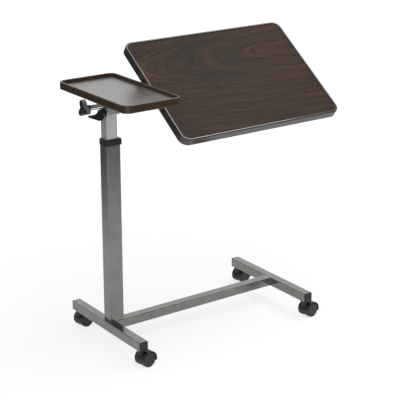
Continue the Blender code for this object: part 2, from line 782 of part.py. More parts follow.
def make_tray(column, steel, rim_finish, floor_finish):
    centre = (tray_x, 0)
    plate_top_height = tray_plate_bottom + TRAY_PLATE
    plate = block(TRAY_PLATE_X, TRAY_PLATE_Y, LEG_CORNER, tray_plate_bottom, plate_top_height, centre)
    piece("tray_support_plate", plate, steel, column)
    floor_inset = TRAY_RIM_FOOT + SEAT
    floor = panel(TRAY_SIZE_X, TRAY_SIZE_Y, TRAY_CORNER, floor_inset, centre)
    shape = loft([level(floor, tray_floor_bottom), level(floor, tray_floor_top)])
    piece("tray_floor", shape, floor_finish, column)
    ledge_top = tray_floor_bottom - SEAT
    ledge_bottom = ledge_top - TRAY_LEDGE_THICKNESS
    rim_bottom = ledge_bottom - TRAY_SKIRT_DROP
    ledge_end = TRAY_RIM_FOOT + TRAY_LEDGE
    section = [
        (0, rim_bottom),
        (0, tray_rim_top - TRAY_RIM_ROUND),
        (TRAY_RIM_ROUND, tray_rim_top),
        (TRAY_RIM - TRAY_RIM_ROUND, tray_rim_top),
        (TRAY_RIM, tray_rim_top - TRAY_RIM_ROUND),
        (TRAY_RIM_FOOT, tray_floor_top),
        (TRAY_RIM_FOOT, ledge_top),
        (ledge_end, ledge_top),
        (ledge_end, ledge_bottom),
        (TRAY_SKIRT, ledge_bottom),
        (TRAY_SKIRT, rim_bottom),
    ]
    loops = rim_loops(TRAY_SIZE_X, TRAY_SIZE_Y, TRAY_CORNER, centre, section)
    piece("tray_rim", loft(loops, ring=True), rim_finish, column)


def make_main_top(top, steel, edge_finish, board_finish):
    """Board in its edge moulding on two plates. The top's own zero is on the tilt axis, level."""
    centre = (top_x, 0)
    board_inset = TOP_EDGE_WIDTH + SEAT
    outline = panel(TOP_SIZE_X, TOP_SIZE_Y, TOP_CORNER, board_inset, centre)
    shape = loft([level(outline, board_bottom), level(outline, board_top)])
    piece("top_board", shape, board_finish, top)
    ledge_top = board_bottom - SEAT
    ledge_bottom = ledge_top - TOP_LEDGE_THICKNESS
    ledge_end = TOP_EDGE_WIDTH + TOP_LEDGE
    section = [
        (0, edge_bottom),
        (0, edge_top - TOP_EDGE_ROUND),
        (TOP_EDGE_ROUND, edge_top),
        (TOP_EDGE_WIDTH - TOP_EDGE_ROUND, edge_top),
        (TOP_EDGE_WIDTH, edge_top - TOP_EDGE_ROUND),
        (TOP_EDGE_WIDTH, ledge_top),
        (ledge_end, ledge_top),
        (ledge_end, ledge_bottom),
        (TOP_SKIRT, ledge_bottom),
        (TOP_SKIRT, edge_bottom),
    ]
    loops = rim_loops(TOP_SIZE_X, TOP_SIZE_Y, TOP_CORNER, centre, section)
    edge = piece("top_edge", loft(loops, ring=True), edge_finish, top)
    notch = TUBE_RADIUS + NOTCH_GAP
    notch_end = top_left + ledge_end + CUT_PAST
    low = (top_left - CUT_PAST, -notch, edge_bottom - CUT_PAST)
    cut(edge, "cut_tube_notch", box(low, (notch_end, notch, notch)), top)
    for name, x in (
        ("left_support_plate", top_left + SUPPORT_PLATE_INSET + SUPPORT_PLATE_X / 2),
        ("right_support_plate", top_right - SUPPORT_PLATE_INSET - SUPPORT_PLATE_X / 2),
    ):
        low_z = plate_top - SUPPORT_PLATE
        plate = block(SUPPORT_PLATE_X, SUPPORT_PLATE_Y, LEG_CORNER, low_z, plate_top, (x, 0))
        piece(name, plate, steel, top)


def make_pivot_tube(top, steel):
    start = bracket_left + TUBE_END_INSET
    end = top_right - SUPPORT_PLATE_INSET + TUBE_PAST_PLATE
    inside = TUBE_RADIUS - TUBE_WALL
    shape = tube(circle(TUBE_RADIUS), circle(inside), start, end)
    piece("pivot_tube", shape, steel, top, (0, 0, 0), ALONG_X)
    thread = ROD_RADIUS + RUN
    nut = tube(circle(inside - SEAT), circle(thread), start, start + NUT_LENGTH)
    piece("tube_nut", nut, steel, top, (0, 0, 0), ALONG_X)


def hood_outline():
    """Side view of a caster's hood about its axle: a wide arc over the wheels and a round web."""
    outer = WHEEL_RADIUS + HOOD_GAP + HOOD_WALL
    sweep = HOOD_FRONT_ANGLE - HOOD_REAR_ANGLE
    rest = 2 * pi - sweep
    points = []
    for step in range(HOOD_STEPS + 1):
        angle = HOOD_REAR_ANGLE + sweep * step / HOOD_STEPS
        points.append((outer * cos(angle), outer * sin(angle)))
    for step in range(HOOD_STEPS + 1):
        angle = HOOD_FRONT_ANGLE + rest * step / HOOD_STEPS
        points.append((HOOD_WEB_RADIUS * cos(angle), HOOD_WEB_RADIUS * sin(angle)))
    return points


def make_hood(name, swivel, axle, finish):
    """Hood of a caster: arched cover, web between the wheels and boss round the stem."""
    half = WEB_THICKNESS / 2 + WHEEL_SIDE_GAP + WHEEL_WIDTH + HOOD_LIP
    outline = hood_outline()
    hood = piece(name, loft([along(outline, -half), along(outline, half)]), finish, axle)
    boss = [(BOSS_RADIUS, boss_top - BOSS_SINK), (BOSS_RADIUS, boss_top)]
    join(hood, "join_" + name + "_boss", turned(boss), swivel)
    room = WHEEL_RADIUS + HOOD_GAP
    web = WEB_THICKNESS / 2
    for side, low, high in (("a", -half - CUT_PAST, -web), ("b", web, half + CUT_PAST)):
        space = turned([(room, low), (room, high)], WHEEL_FACETS)
        cut(hood, "cut_" + name + "_wheel_" + side, space, axle, (0, 0, 0), ALONG_Y)
    stem_hole = STEM_RADIUS + SEAT
    well = [(stem_hole, boss_top - STEM_IN_HOOD - SEAT), (stem_hole, boss_top + CUT_PAST)]
    cut(hood, "cut_" + name + "_stem", turned(well), swivel)
    axle_hole = AXLE_RADIUS + SEAT
    reach = web + CUT_PAST
    hole = turned([(axle_hole, -reach), (axle_hole, reach)])
    cut(hood, "cut_" + name + "_axle", hole, axle, (0, 0, 0), ALONG_Y)


def wheel_shape():
    """Wheel with its inner face at zero, closed outside, with a blind hole for the axle."""
    hole = AXLE_RADIUS + RUN
    rim = WHEEL_RADIUS - WHEEL_BEVEL
    profile = [
        (hole, AXLE_IN_WHEEL + RUN),
        (hole, 0),
        (WHEEL_RADIUS - WHEEL_BEVEL / 2, 0),
        (WHEEL_RADIUS, WHEEL_BEVEL / 2),
        (WHEEL_RADIUS, WHEEL_WIDTH - WHEEL_BEVEL),
        (rim, WHEEL_WIDTH),
    ]
    return turned(profile, WHEEL_FACETS)


def make_caster(name, x, y, root, plastic, wheel_finish, steel):
    swivel = empty(name + "_swivel", root, (x, y, 0), (0, 0, CASTER_YAW))
    axle = empty(name + "_axle_line", swivel, (CASTER_TRAIL, 0, axle_height))
    make_hood(name + "_hood", swivel, axle, plastic)
    stem_end = socket_top - STEM_IN_SOCKET_END
    stem = [(STEM_RADIUS, boss_top - STEM_IN_HOOD), (STEM_RADIUS, stem_end)]
    piece(name + "_stem", turned(stem), steel, swivel)
    inner_face = WEB_THICKNESS / 2 + WHEEL_SIDE_GAP
    reach = inner_face + AXLE_IN_WHEEL
    shaft = turned([(AXLE_RADIUS, -reach), (AXLE_RADIUS, reach)])
    piece(name + "_axle", shaft, steel, axle, (0, 0, 0), ALONG_Y)
    piece(name + "_wheel_a", wheel_shape(), wheel_finish, axle, (0, -inner_face, 0), AGAINST_Y)
    piece(name + "_wheel_b", wheel_shape(), wheel_finish, axle, (0, inner_face, 0), ALONG_Y)
    make_socket(name + "_socket", root, plastic, (x, y, 0))


def main():
    clear_scene()
    paint = principled("frame_paint", (0.150, 0.148, 0.142), 0.32, 0.7)
    zinc = principled("zinc_steel", (0.560, 0.555, 0.530), 0.34, 1.0)
    chrome = principled("chrome", (0.720, 0.720, 0.710), 0.12, 1.0)
    steel = principled("plain_steel", (0.300, 0.300, 0.300), 0.45, 1.0)
    black = principled("black_plastic", (0.014, 0.014, 0.015), 0.42, 0.0)
    wheel = principled("wheel_plastic", (0.034, 0.034, 0.034), 0.50, 0.0)
    tray_brown = principled("tray_moulding", (0.040, 0.024, 0.014), 0.30, 0.0)
    tray_panel = principled("tray_panel", (0.060, 0.042, 0.032), 0.22, 0.0)
    edge_brown = principled("edge_moulding", (0.044, 0.034, 0.028), 0.34, 0.0)
    walnut = principled("walnut_laminate", (0.052, 0.023, 0.013), 0.38, 0.0)

    root = empty("table", None, (-table_middle_x, -table_middle_y, 0))
    left_leg = make_leg("left", 0, root, paint)
    make_leg("right", LEG_SPACING, root, paint)
    stretcher = make_stretcher(root, paint)
    for side, x in (("left", 0), ("right", LEG_SPACING)):
        for end_name, end in (("front", -1), ("rear", 1)):
            make_plug(side + "_" + end_name + "_plug", x, end, root, black)
            caster = side + "_" + end_name + "_caster"
            make_caster(caster, x, end * stem_y, root, black, wheel, steel)

    make_post(root, paint)
    foot_plate = make_foot_plate(root, steel)
    inside_left = post_left + POST_WALL
    inside_right = post_right - POST_WALL
    leg_face = LEG_WIDTH / 2
    leg_bolt_x = (inside_left + leg_face) / 2
    stretcher_bolt_x = (leg_face + inside_right) / 2
    through_leg = (left_leg, foot_plate)
    through_stretcher = (stretcher, foot_plate)
    make_bolt("leg_bolt", leg_bolt_x, 0, leg_bottom, through_leg, root, steel)
    make_bolt(
        "stretcher_bolt", stretcher_bolt_x, stretcher_y, stretcher_bottom, through_stretcher, root, steel
    )
    make_collar(root, black)

    column = empty("column", root)
    make_gas_spring(root, column, chrome, black)
    make_inner_post(column, zinc)
    make_lower_glide(column, black)
    make_release_head(column, steel)
    make_release_pin(column, steel)
    make_head_bracket(column, zinc)
    make_lever_pin(column, steel)
    make_pivot_housing(column, zinc)
    make_tray(column, steel, tray_brown, tray_panel)
    lever = empty("lever_axis", column, lever_pivot)
    make_height_lever(lever, black)
    knob = empty("knob_axis", column, (hub_end, 0, axis_height))
    make_tilt_knob(knob, black, chrome)
    top = empty("tilt_axis", column, (0, 0, axis_height), (TOP_TILT, 0, 0))
    make_main_top(top, steel, edge_brown, walnut)
    make_pivot_tube(top, steel)


main()
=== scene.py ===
"""Overbed table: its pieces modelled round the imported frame, their finishes and a plain studio.

Metres, +Z up. X runs along the stretcher from the mast to the far leg, -Y is the front.
"""

from math import cos
from math import pi
from math import radians
from math import sin

import bmesh
import bpy
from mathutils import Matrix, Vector


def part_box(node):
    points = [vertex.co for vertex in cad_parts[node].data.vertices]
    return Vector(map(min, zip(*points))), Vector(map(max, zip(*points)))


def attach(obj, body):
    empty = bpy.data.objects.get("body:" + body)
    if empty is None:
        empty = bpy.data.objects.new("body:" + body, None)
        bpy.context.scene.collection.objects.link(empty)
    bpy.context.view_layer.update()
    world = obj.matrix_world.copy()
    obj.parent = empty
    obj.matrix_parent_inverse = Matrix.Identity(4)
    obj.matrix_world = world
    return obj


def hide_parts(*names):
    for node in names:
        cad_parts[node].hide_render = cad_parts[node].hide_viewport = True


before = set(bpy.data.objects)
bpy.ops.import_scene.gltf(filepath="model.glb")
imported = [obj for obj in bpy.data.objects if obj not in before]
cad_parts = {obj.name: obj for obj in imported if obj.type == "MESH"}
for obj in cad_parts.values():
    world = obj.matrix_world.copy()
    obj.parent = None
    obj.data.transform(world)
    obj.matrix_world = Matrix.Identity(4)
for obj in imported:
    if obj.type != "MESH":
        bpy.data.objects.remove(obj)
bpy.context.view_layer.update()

# Sizes. A piece that stands for a solid keeps its main sizes

# Clearances of pieces that seat on each other, and of pieces that run
SEAT = 0.0003
RUN = 0.0004
# How close a picked place is, and how far a cutter runs past its piece
NEAR = 0.0001
PAST = 0.003
# Shares of a direction or a normal that count as along an axis, across it, flat, level or upright
ALONG = 0.9
ACROSS = 0.1
FLAT = 0.99
LEVEL = 0.8
UPRIGHT = 0.3
# Small rounds on the edges of boards, folded sheet and castings
BOARD_EASE = 0.0004
SHEET_EASE = 0.0003
CAST_EASE = 0.0005
# Faces that meet at less than this are shaded as one
SMOOTH_ANGLE = radians(38)

# Base frame
LEG_CORNER = 0.002
LEG_WALL = 0.0015
POST_CORNER = 0.0025
COLUMN_CORNER = 0.002
TUBE_STEPS = 5
SOCKET_HOLE = 0.0072
SOCKET_HOLE_DEPTH = 0.005
PLUG_LIP = 0.0025
PLUG_ROUND = 0.0008
PLUG_CROWN = 0.0002
PLUG_CROWN_INSET = 0.0012
WELD_RADIUS = 0.0013
WELD_PITCH = 0.0016
COLLAR_SKIRT = 0.0186
COLLAR_CORNER = 0.004
COLLAR_BORE_PAST = 0.01
COLLAR_ROUND = 0.0012
COLLAR_FOOT_ROUND = 0.0005

# Casters
WHEEL_RADIUS = 0.0235
WHEEL_WIDTH = 0.0172
WHEEL_ROOM = 0.0248
WHEEL_INNER = 0.0055
HOOD_RADIUS = 0.0268
HOOD_HALF = 0.0233
HOOD_REAR = radians(-18)
HOOD_FRONT = radians(118)
HOOD_WEB = 0.0226
WEB_HALF = 0.0045
CASTER_TRAIL = 0.016
CASTER_YAW = radians(9)
AXLE_HEIGHT = 0.0234
AXLE_HOLE = 0.0033
AXLE_HOLE_REACH = 0.01
BOSS_RADIUS = 0.010
BOSS_DEPTH = 0.016
BOSS_CHAMFER = 0.0012
BOSS_BELOW_LEG = 0.0027
STEM_WELL = 0.0053
STEM_WELL_DEPTH = 0.0078

# Column head
BRACKET_SHEET = 0.0025
BRACKET_FLANGE = 0.012
BRACKET_FOLD = 0.0022
TAB_INNER = 0.007
TAB_OUTER = 0.0145
TAB_HEIGHT = 0.018
PIN_HOLE = 0.0023
PIN_HOLE_REACH = 0.025
SMALL_HOLE = 0.0017
SMALL_HOLE_FROM_PIN = Vector((-0.0037, 0, 0.0045))
RELEASE_HOLE = 0.002
RELEASE_REACH = 0.02
LEVER_WIDTH = 0.020
LEVER_ROUND = 0.0021
NECK_WIDTH = 0.012
NECK_HALF = 0.0045
NECK_ROOT = 0.0085
NECK_SHOULDER = 0.0022
NECK_EASE = 0.0006
FINGER_LOW = 0.0078
FINGER_HIGH = 0.0114
FINGER_REACH = 0.0121
HOUSING_CORNER = 0.003
HOUSING_BORE_PAST = 0.002

# Tilt knob
KNOB_RADIUS = 0.0192
KNOB_LOBE = 0.0078
KNOB_TURN = radians(72)
KNOB_STEPS = 144
KNOB_ROUND = 0.0022
HUB_LENGTH = 0.0085
HUB_SINK = 0.0004

# Side tray
TRAY_CORNER = 0.024
TRAY_RIM = 0.0068
TRAY_LEDGE = 0.0092
TRAY_LEDGE_DEPTH = 0.0025
TRAY_SKIRT = 0.0035
# Each round is a width and its steps, in the order that round_rim takes them
TRAY_ROUNDS = ((0.0028, 6), (0.0026, 5), (0.0030, 5), (0.0006, 2))
TRAY_SCREW_INSET = 0.012

# Main top, with its heights from the tilt axis
TOP_TILT = radians(35.4)
TOP_DEPTH = 0.3935
TOP_CORNER = 0.028
TOP_EDGE = 0.007
TOP_EDGE_LOW = 0.0026
TOP_EDGE_HIGH = 0.0286
TOP_LEDGE = 0.010
TOP_LEDGE_LOW = 0.0084
TOP_LEDGE_HIGH = 0.0108
TOP_SKIRT = 0.004
NOTCH_ROOM = 0.001
NOTCH_LENGTH = 0.020
NOTCH_LOW = -0.002
TOP_ROUNDS = ((0.0032, 6), (0.0024, 5), (0.0024, 4), (0.0006, 2))
TOP_SCREW_INSET = 0.010
TOP_SCREW_ROWS = (-0.078, -0.040, 0.040, 0.078)
BOARD_LOW = 0.0111
BOARD_HIGH = 0.0261
PLATE_LOW = 0.0083
PLATE_SHEET = 0.0025
PLATE_LENGTH = 0.180
PLATE_CORNER = 0.006
PLATE_STEPS = 5
TUBE_RADIUS = 0.008
SADDLE_WIDTH = 0.024
SADDLE_SHEET = 0.0020
SADDLE_FOOT = 0.012
SADDLE_ROOM = 0.0002
SADDLE_GAP = 0.0001

# Camera
EYE = Vector((-2.18603, -3.05856, 1.68247))
AIM = Vector((-0.03810, -0.05683, 0.42310))
LENS = 115.90
CAMERA_TURN = radians(35.586)

# Places read from the frame
leg_low, leg_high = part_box("left_leg")
post_low, post_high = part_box("outer_post")
column_low, column_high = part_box("inner_post")
bracket_low, bracket_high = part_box("head_bracket")
sleeve_low, sleeve_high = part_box("clamp_sleeve")
axis = (sleeve_low + sleeve_high) / 2
top_low, top_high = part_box("top_edge")


# Working on a piece

def put_down():
    """Leaves edit mode with nothing selected."""
    if bpy.context.object and bpy.context.object.mode == "EDIT":
        bpy.ops.object.mode_set(mode="OBJECT")
    bpy.ops.object.select_all(action="DESELECT")


def take(piece):
    put_down()
    piece.select_set(True)
    bpy.context.view_layer.objects.active = piece


def open_up(piece):
    take(piece)
    bpy.ops.object.mode_set(mode="EDIT")


def close():
    bpy.ops.mesh.select_all(action="SELECT")
    bpy.ops.mesh.normals_make_consistent(inside=False)
    bpy.ops.object.mode_set(mode="OBJECT")


def settle(name):
    piece = bpy.context.object
    piece.name = name
    piece.data.name = name
    bpy.ops.object.transform_apply(location=True, rotation=True, scale=True)
    return piece


def block(name, low, high):
    put_down()
    size = Vector(high) - Vector(low)
    bpy.ops.mesh.primitive_cube_add(size=1, location=(Vector(low) + Vector(high)) / 2, scale=size)
    return settle(name)


def rod(name, start, end, radius, sides=48):
    put_down()
    reach = Vector(end) - Vector(start)
    turn = reach.to_track_quat("Z", "Y").to_euler()
    middle = (Vector(start) + Vector(end)) / 2
    bpy.ops.mesh.primitive_cylinder_add(
        vertices=sides, radius=radius, depth=reach.length, location=middle, rotation=turn
    )
    return settle(name)


def faces(test):
    """Picks the faces whose middle and normal pass a test."""
    bpy.ops.mesh.select_mode(type="FACE")
    bpy.ops.mesh.select_all(action="DESELECT")
    shape = bmesh.from_edit_mesh(bpy.context.object.data)
    for face in shape.faces:
        if test(face.calc_center_median(), face.normal):
            face.select_set(True)
    bmesh.update_edit_mesh(bpy.context.object.data)


def edges(test):
    """Picks the edges whose middle and direction pass a test."""
    bpy.ops.mesh.select_mode(type="EDGE")
    bpy.ops.mesh.select_all(action="DESELECT")
    shape = bmesh.from_edit_mesh(bpy.context.object.data)
    for edge in shape.edges:
        start, end = (corner.co for corner in edge.verts)
        if test((start + end) / 2, (end - start).normalized()):
            edge.select_set(True)
    bmesh.update_edit_mesh(bpy.context.object.data)


def brink(height, outward, middle):
    """Picks the edges at a height between a level face and a wall that looks out, or in to the middle."""
    bpy.ops.mesh.select_mode(type="EDGE")
    bpy.ops.mesh.select_all(action="DESELECT")
    shape = bmesh.from_edit_mesh(bpy.context.object.data)
    for edge in shape.edges:
        place = (edge.verts[0].co + edge.verts[1].co) / 2
        walls = [face for face in edge.link_faces if abs(face.normal.z) < UPRIGHT]
        level = [face for face in edge.link_faces if abs(face.normal.z) > LEVEL]
        if abs(place.z - height) < 2 * NEAR and len(walls) == 1 and len(level) == 1:
            away = walls[0].normal.x * (place.x - middle[0]) + walls[0].normal.y * (place.y - middle[1])
            if (away > 0) == outward:
                edge.select_set(True)
    bmesh.update_edit_mesh(bpy.context.object.data)


def bevel(width, steps):
    bpy.ops.mesh.bevel(offset=width, segments=steps, profile=0.5, affect="EDGES")


def round_along(piece, along, corner):
    """Rounds the edges of a block that run along one axis."""
    open_up(piece)
    edges(lambda at, way: abs(way[along]) > ALONG)
    bevel(corner, TUBE_STEPS)
    close()


def round_rim(rim, low, high, middle, rounds):
    """Rounds a rim's top, outside and inside, and then its foot, outside and inside."""
    open_up(rim)
    places = ((high, True), (high, False), (low, True), (low, False))
    for (height, outward), (width, steps) in zip(places, rounds):
        brink(height, outward, middle)
        bevel(width, steps)
    close()


def extrude(move):
    bpy.ops.mesh.extrude_region_move(TRANSFORM_OT_translate={"value": move})


def sink(steps):
    """Insets the picked face and draws it up or down, one step after another."""
    for width, rise in steps:
        if width:
            bpy.ops.mesh.inset(thickness=width, use_even_offset=True)
        if rise:
            extrude((0, 0, rise))


def modify(piece, kind, **settings):
    take(piece)
    change = piece.modifiers.new(kind.lower(), kind)
    for setting, value in settings.items():
        setattr(change, setting, value)
    bpy.ops.object.modifier_apply(modifier=change.name)


def soften(piece, width, steps=3, angle=30):
    modify(piece, "BEVEL", width=width, segments=steps, limit_method="ANGLE", angle_limit=radians(angle))


def cut(piece, cutter, operation="DIFFERENCE"):
    modify(piece, "BOOLEAN", object=cutter, operation=operation, solver="EXACT")
    bpy.data.objects.remove(cutter)


def join(pieces, name):
    put_down()
    for piece in pieces:
        piece.select_set(True)
    bpy.context.view_layer.objects.active = pieces[0]
    bpy.ops.object.join()
    return settle(name)


def copy_of(piece, name):
    take(piece)
    bpy.ops.object.duplicate(linked=False)
    return settle(name)


def place(piece, location, turn=(0, 0, 0)):
    """Sets a piece that was made about zero in its place, and applies it."""
    take(piece)
    piece.location = location
    piece.rotation_euler = turn
    bpy.ops.object.transform_apply(location=True, rotation=True, scale=True)
    return piece


def turned(name, profile, sides=64, ring=False):
    """A piece turned about Z, from pairs of radius and height. A ring is open through its middle."""
    put_down()
    radius, height = profile[0]
    fill = "NOTHING" if ring else "NGON"
    bpy.ops.mesh.primitive_circle_add(
        vertices=sides, radius=radius, fill_type=fill, location=(0, 0, height)
    )
    piece = settle(name)
    open_up(piece)
    bpy.ops.mesh.select_mode(type="VERT")
    bpy.ops.mesh.select_all(action="SELECT")
    for next_radius, next_height in profile[1:]:
        extrude((0, 0, next_height - height))
        share = next_radius / radius
        bpy.ops.transform.resize(value=(share, share, 1), center_override=(0, 0, next_height))
        radius, height = next_radius, next_height
    if ring:
        bpy.ops.mesh.select_mode(type="EDGE")
        bpy.ops.mesh.select_all(action="DESELECT")
        bpy.ops.mesh.select_non_manifold()
        bpy.ops.mesh.bridge_edge_loops()
    close()
    return piece


def outlined(name, points, depth):
    """A flat outline, drawn through its points and extruded by depth."""
    put_down()
    bpy.ops.mesh.primitive_circle_add(vertices=len(points), radius=1, fill_type="NGON")
    piece = settle(name)
    for corner, point in zip(piece.data.vertices, points):
        corner.co = point
    open_up(piece)
    bpy.ops.mesh.select_all(action="SELECT")
    extrude(depth)
    close()
    return piece


def slab(name, low, high, corner, steps=12):
    """A level board with round corners."""
    put_down()
    low, high = Vector(low), Vector(high)
    size = high - low
    middle = (low + high) / 2
    bpy.ops.mesh.primitive_plane_add(size=1, location=(middle.x, middle.y, low.z))
    bpy.context.object.scale = (size.x, size.y, 1)
    piece = settle(name)
    open_up(piece)
    bpy.ops.mesh.select_all(action="SELECT")
    bpy.ops.mesh.bevel(offset=corner, segments=steps, affect="VERTICES")
    bpy.ops.mesh.select_all(action="SELECT")
    extrude((0, 0, size.z))
    close()
    return piece


def moulding(name, low, high, corner, rim, ledge, skirt, ledge_low, ledge_high):
    """A frame round a board: a raised rim, a ledge under the board and a skirt below."""
    piece = slab(name, low, high, corner)
    low, high = Vector(low), Vector(high)
    open_up(piece)
    faces(lambda at, normal: normal.z > ALONG)
    sink([(rim, ledge_high - high.z), (ledge, ledge_low - ledge_high)])
    bpy.ops.mesh.delete(type="FACE")
    faces(lambda at, normal: normal.z < -ALONG and at.z < low.z + NEAR)
    sink([(skirt, ledge_low - low.z), (rim + ledge - skirt, 0)])
    bpy.ops.mesh.delete(type="FACE")
    bpy.ops.mesh.select_all(action="SELECT")
    bpy.ops.mesh.remove_doubles(threshold=2 * NEAR)
    close()
    return piece


def square_tube(name, node, along, corner, wall):
    """A hollow section with rounded edges along one axis, open at both ends."""
    piece = block(name, *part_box(node))
    open_up(piece)
    faces(lambda at, normal: abs(normal[along]) > ALONG)
    bpy.ops.mesh.delete(type="FACE")
    edges(lambda at, way: abs(way[along]) > ALONG)
    bevel(corner, TUBE_STEPS)
    close()
    modify(piece, "SOLIDIFY", thickness=wall, offset=-1, use_even_offset=True)
    return piece


def fit(piece, body, finish, slot, *nodes):
    """Gives a piece its finish and hangs it on its body, in place of the solids it stands for."""
    take(piece)
    bpy.ops.object.shade_smooth_by_angle(angle=SMOOTH_ANGLE)
    modify(piece, "WEIGHTED_NORMAL", mode="FACE_AREA", weight=100, keep_sharp=True)
    if not piece.data.materials:
        piece.data.materials.append(finish)
    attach(piece, body)
    if nodes:
        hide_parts(*nodes)
    return piece


# Finishes

def add(tree, kind, sockets=None, **settings):
    """A node with its settings, and with its sockets set or linked."""
    made = tree.nodes.new("ShaderNode" + kind)
    for setting, value in settings.items():
        setattr(made, setting, value)
    for socket, value in (sockets or {}).items():
        if isinstance(value, bpy.types.NodeSocket):
            tree.links.new(value, made.inputs[socket])
        else:
            made.inputs[socket].default_value = value
    return made


def ramp(tree, share, stops):
    made = add(tree, "ValToRGB", {"Fac": share})
    made.color_ramp.elements[0].position = stops[0][0]
    made.color_ramp.elements[0].color = (*stops[0][1], 1)
    made.color_ramp.elements[1].position = stops[-1][0]
    made.color_ramp.elements[1].color = (*stops[-1][1], 1)
    for position, colour in stops[1:-1]:
        made.color_ramp.elements.new(position).color = (*colour, 1)
    return made.outputs["Color"]


def between(tree, value, low, high, start=0.3, end=0.7):
    sockets = {"Value": value, "From Min": start, "From Max": end, "To Min": low, "To Max": high}
    return add(tree, "MapRange", sockets).outputs["Result"]


def blank(name, **sockets):
    made = bpy.data.materials.new(name)
    made.use_nodes = True
    shader = made.node_tree.nodes["Principled BSDF"]
    for socket, value in sockets.items():
        shader.inputs[socket.replace("_", " ")].default_value = value
    return made, made.node_tree, shader


def object_place(tree, scale=(1, 1, 1), location=(0, 0, 0), turn=(0, 0, 0)):
    start = add(tree, "TexCoord").outputs["Object"]
    sockets = {"Vector": start, "Location": location, "Rotation": turn, "Scale": scale}
    return add(tree, "Mapping", sockets).outputs["Vector"]


def noise(tree, at, scale, detail=3.0, rough=0.55):
    sockets = {"Vector": at, "Scale": scale, "Detail": detail, "Roughness": rough}
    return add(tree, "TexNoise", sockets).outputs["Fac"]


def relief(tree, shader, height, strength, depth=0.0002):
    bump = add(tree, "Bump", {"Height": height, "Strength": strength, "Distance": depth})
    tree.links.new(bump.outputs["Normal"], shader.inputs["Normal"])


def grained(name, dark, light, grain, rough, bump, stretch=(1, 1, 1), **sockets):
    """A finish that varies between two colours, fine and broad, with a fine relief."""
    made, tree, shader = blank(name, **sockets)
    at = object_place(tree, stretch)
    fine = noise(tree, at, grain)
    broad = noise(tree, object_place(tree), grain / 40, 2.0)
    mixed = add(tree, "Mix", {"Factor": 0.35, "A": fine, "B": broad}).outputs["Result"]
    tree.links.new(ramp(tree, mixed, [(0.38, dark), (0.62, light)]), shader.inputs["Base Color"])
    tree.links.new(between(tree, mixed, *rough), shader.inputs["Roughness"])
    relief(tree, shader, fine, bump)
    return made


def galvanised(name):
    """Zinc spangle: flat crystals of slightly different brightness, with faint draw lines."""
    made, tree, shader = blank(name, Metallic=1.0)
    at = object_place(tree)
    crystals = add(tree, "TexVoronoi", {"Vector": at, "Scale": 150.0})
    shade = add(tree, "SeparateColor", {"Color": crystals.outputs["Color"]}).outputs["Red"]
    haze = noise(tree, at, 900.0)
    mixed = add(tree, "Mix", {"Factor": 0.4, "A": shade, "B": haze}).outputs["Result"]
    stops = [(0.1, (0.42, 0.43, 0.45)), (0.5, (0.60, 0.61, 0.63)), (0.9, (0.80, 0.81, 0.83))]
    tree.links.new(ramp(tree, mixed, stops), shader.inputs["Base Color"])
    tree.links.new(between(tree, mixed, 0.32, 0.18), shader.inputs["Roughness"])
    relief(tree, shader, haze, 0.06)
    return made


def drawn_steel(name):
    """Bright drawn tube: streaks along its length."""
    made, tree, shader = blank(name, Metallic=1.0)
    streaks = noise(tree, object_place(tree, (420, 420, 2.5)), 1.0, 4.0)
    broad = noise(tree, object_place(tree, (90, 90, 1.2)), 1.0, 2.0)
    haze = noise(tree, object_place(tree), 700.0)
    mixed = add(tree, "Mix", {"Factor": 0.5, "A": streaks, "B": broad}).outputs["Result"]
    stops = [(0.34, (0.70, 0.68, 0.65)), (0.5, (0.92, 0.91, 0.88)), (0.62, (0.98, 0.97, 0.96))]
    tree.links.new(ramp(tree, mixed, stops), shader.inputs["Base Color"])
    tree.links.new(between(tree, mixed, 0.50, 0.34), shader.inputs["Roughness"])
    height = add(tree, "Mix", {"Factor": 0.3, "A": streaks, "B": haze}).outputs["Result"]
    relief(tree, shader, height, 0.08)
    return made


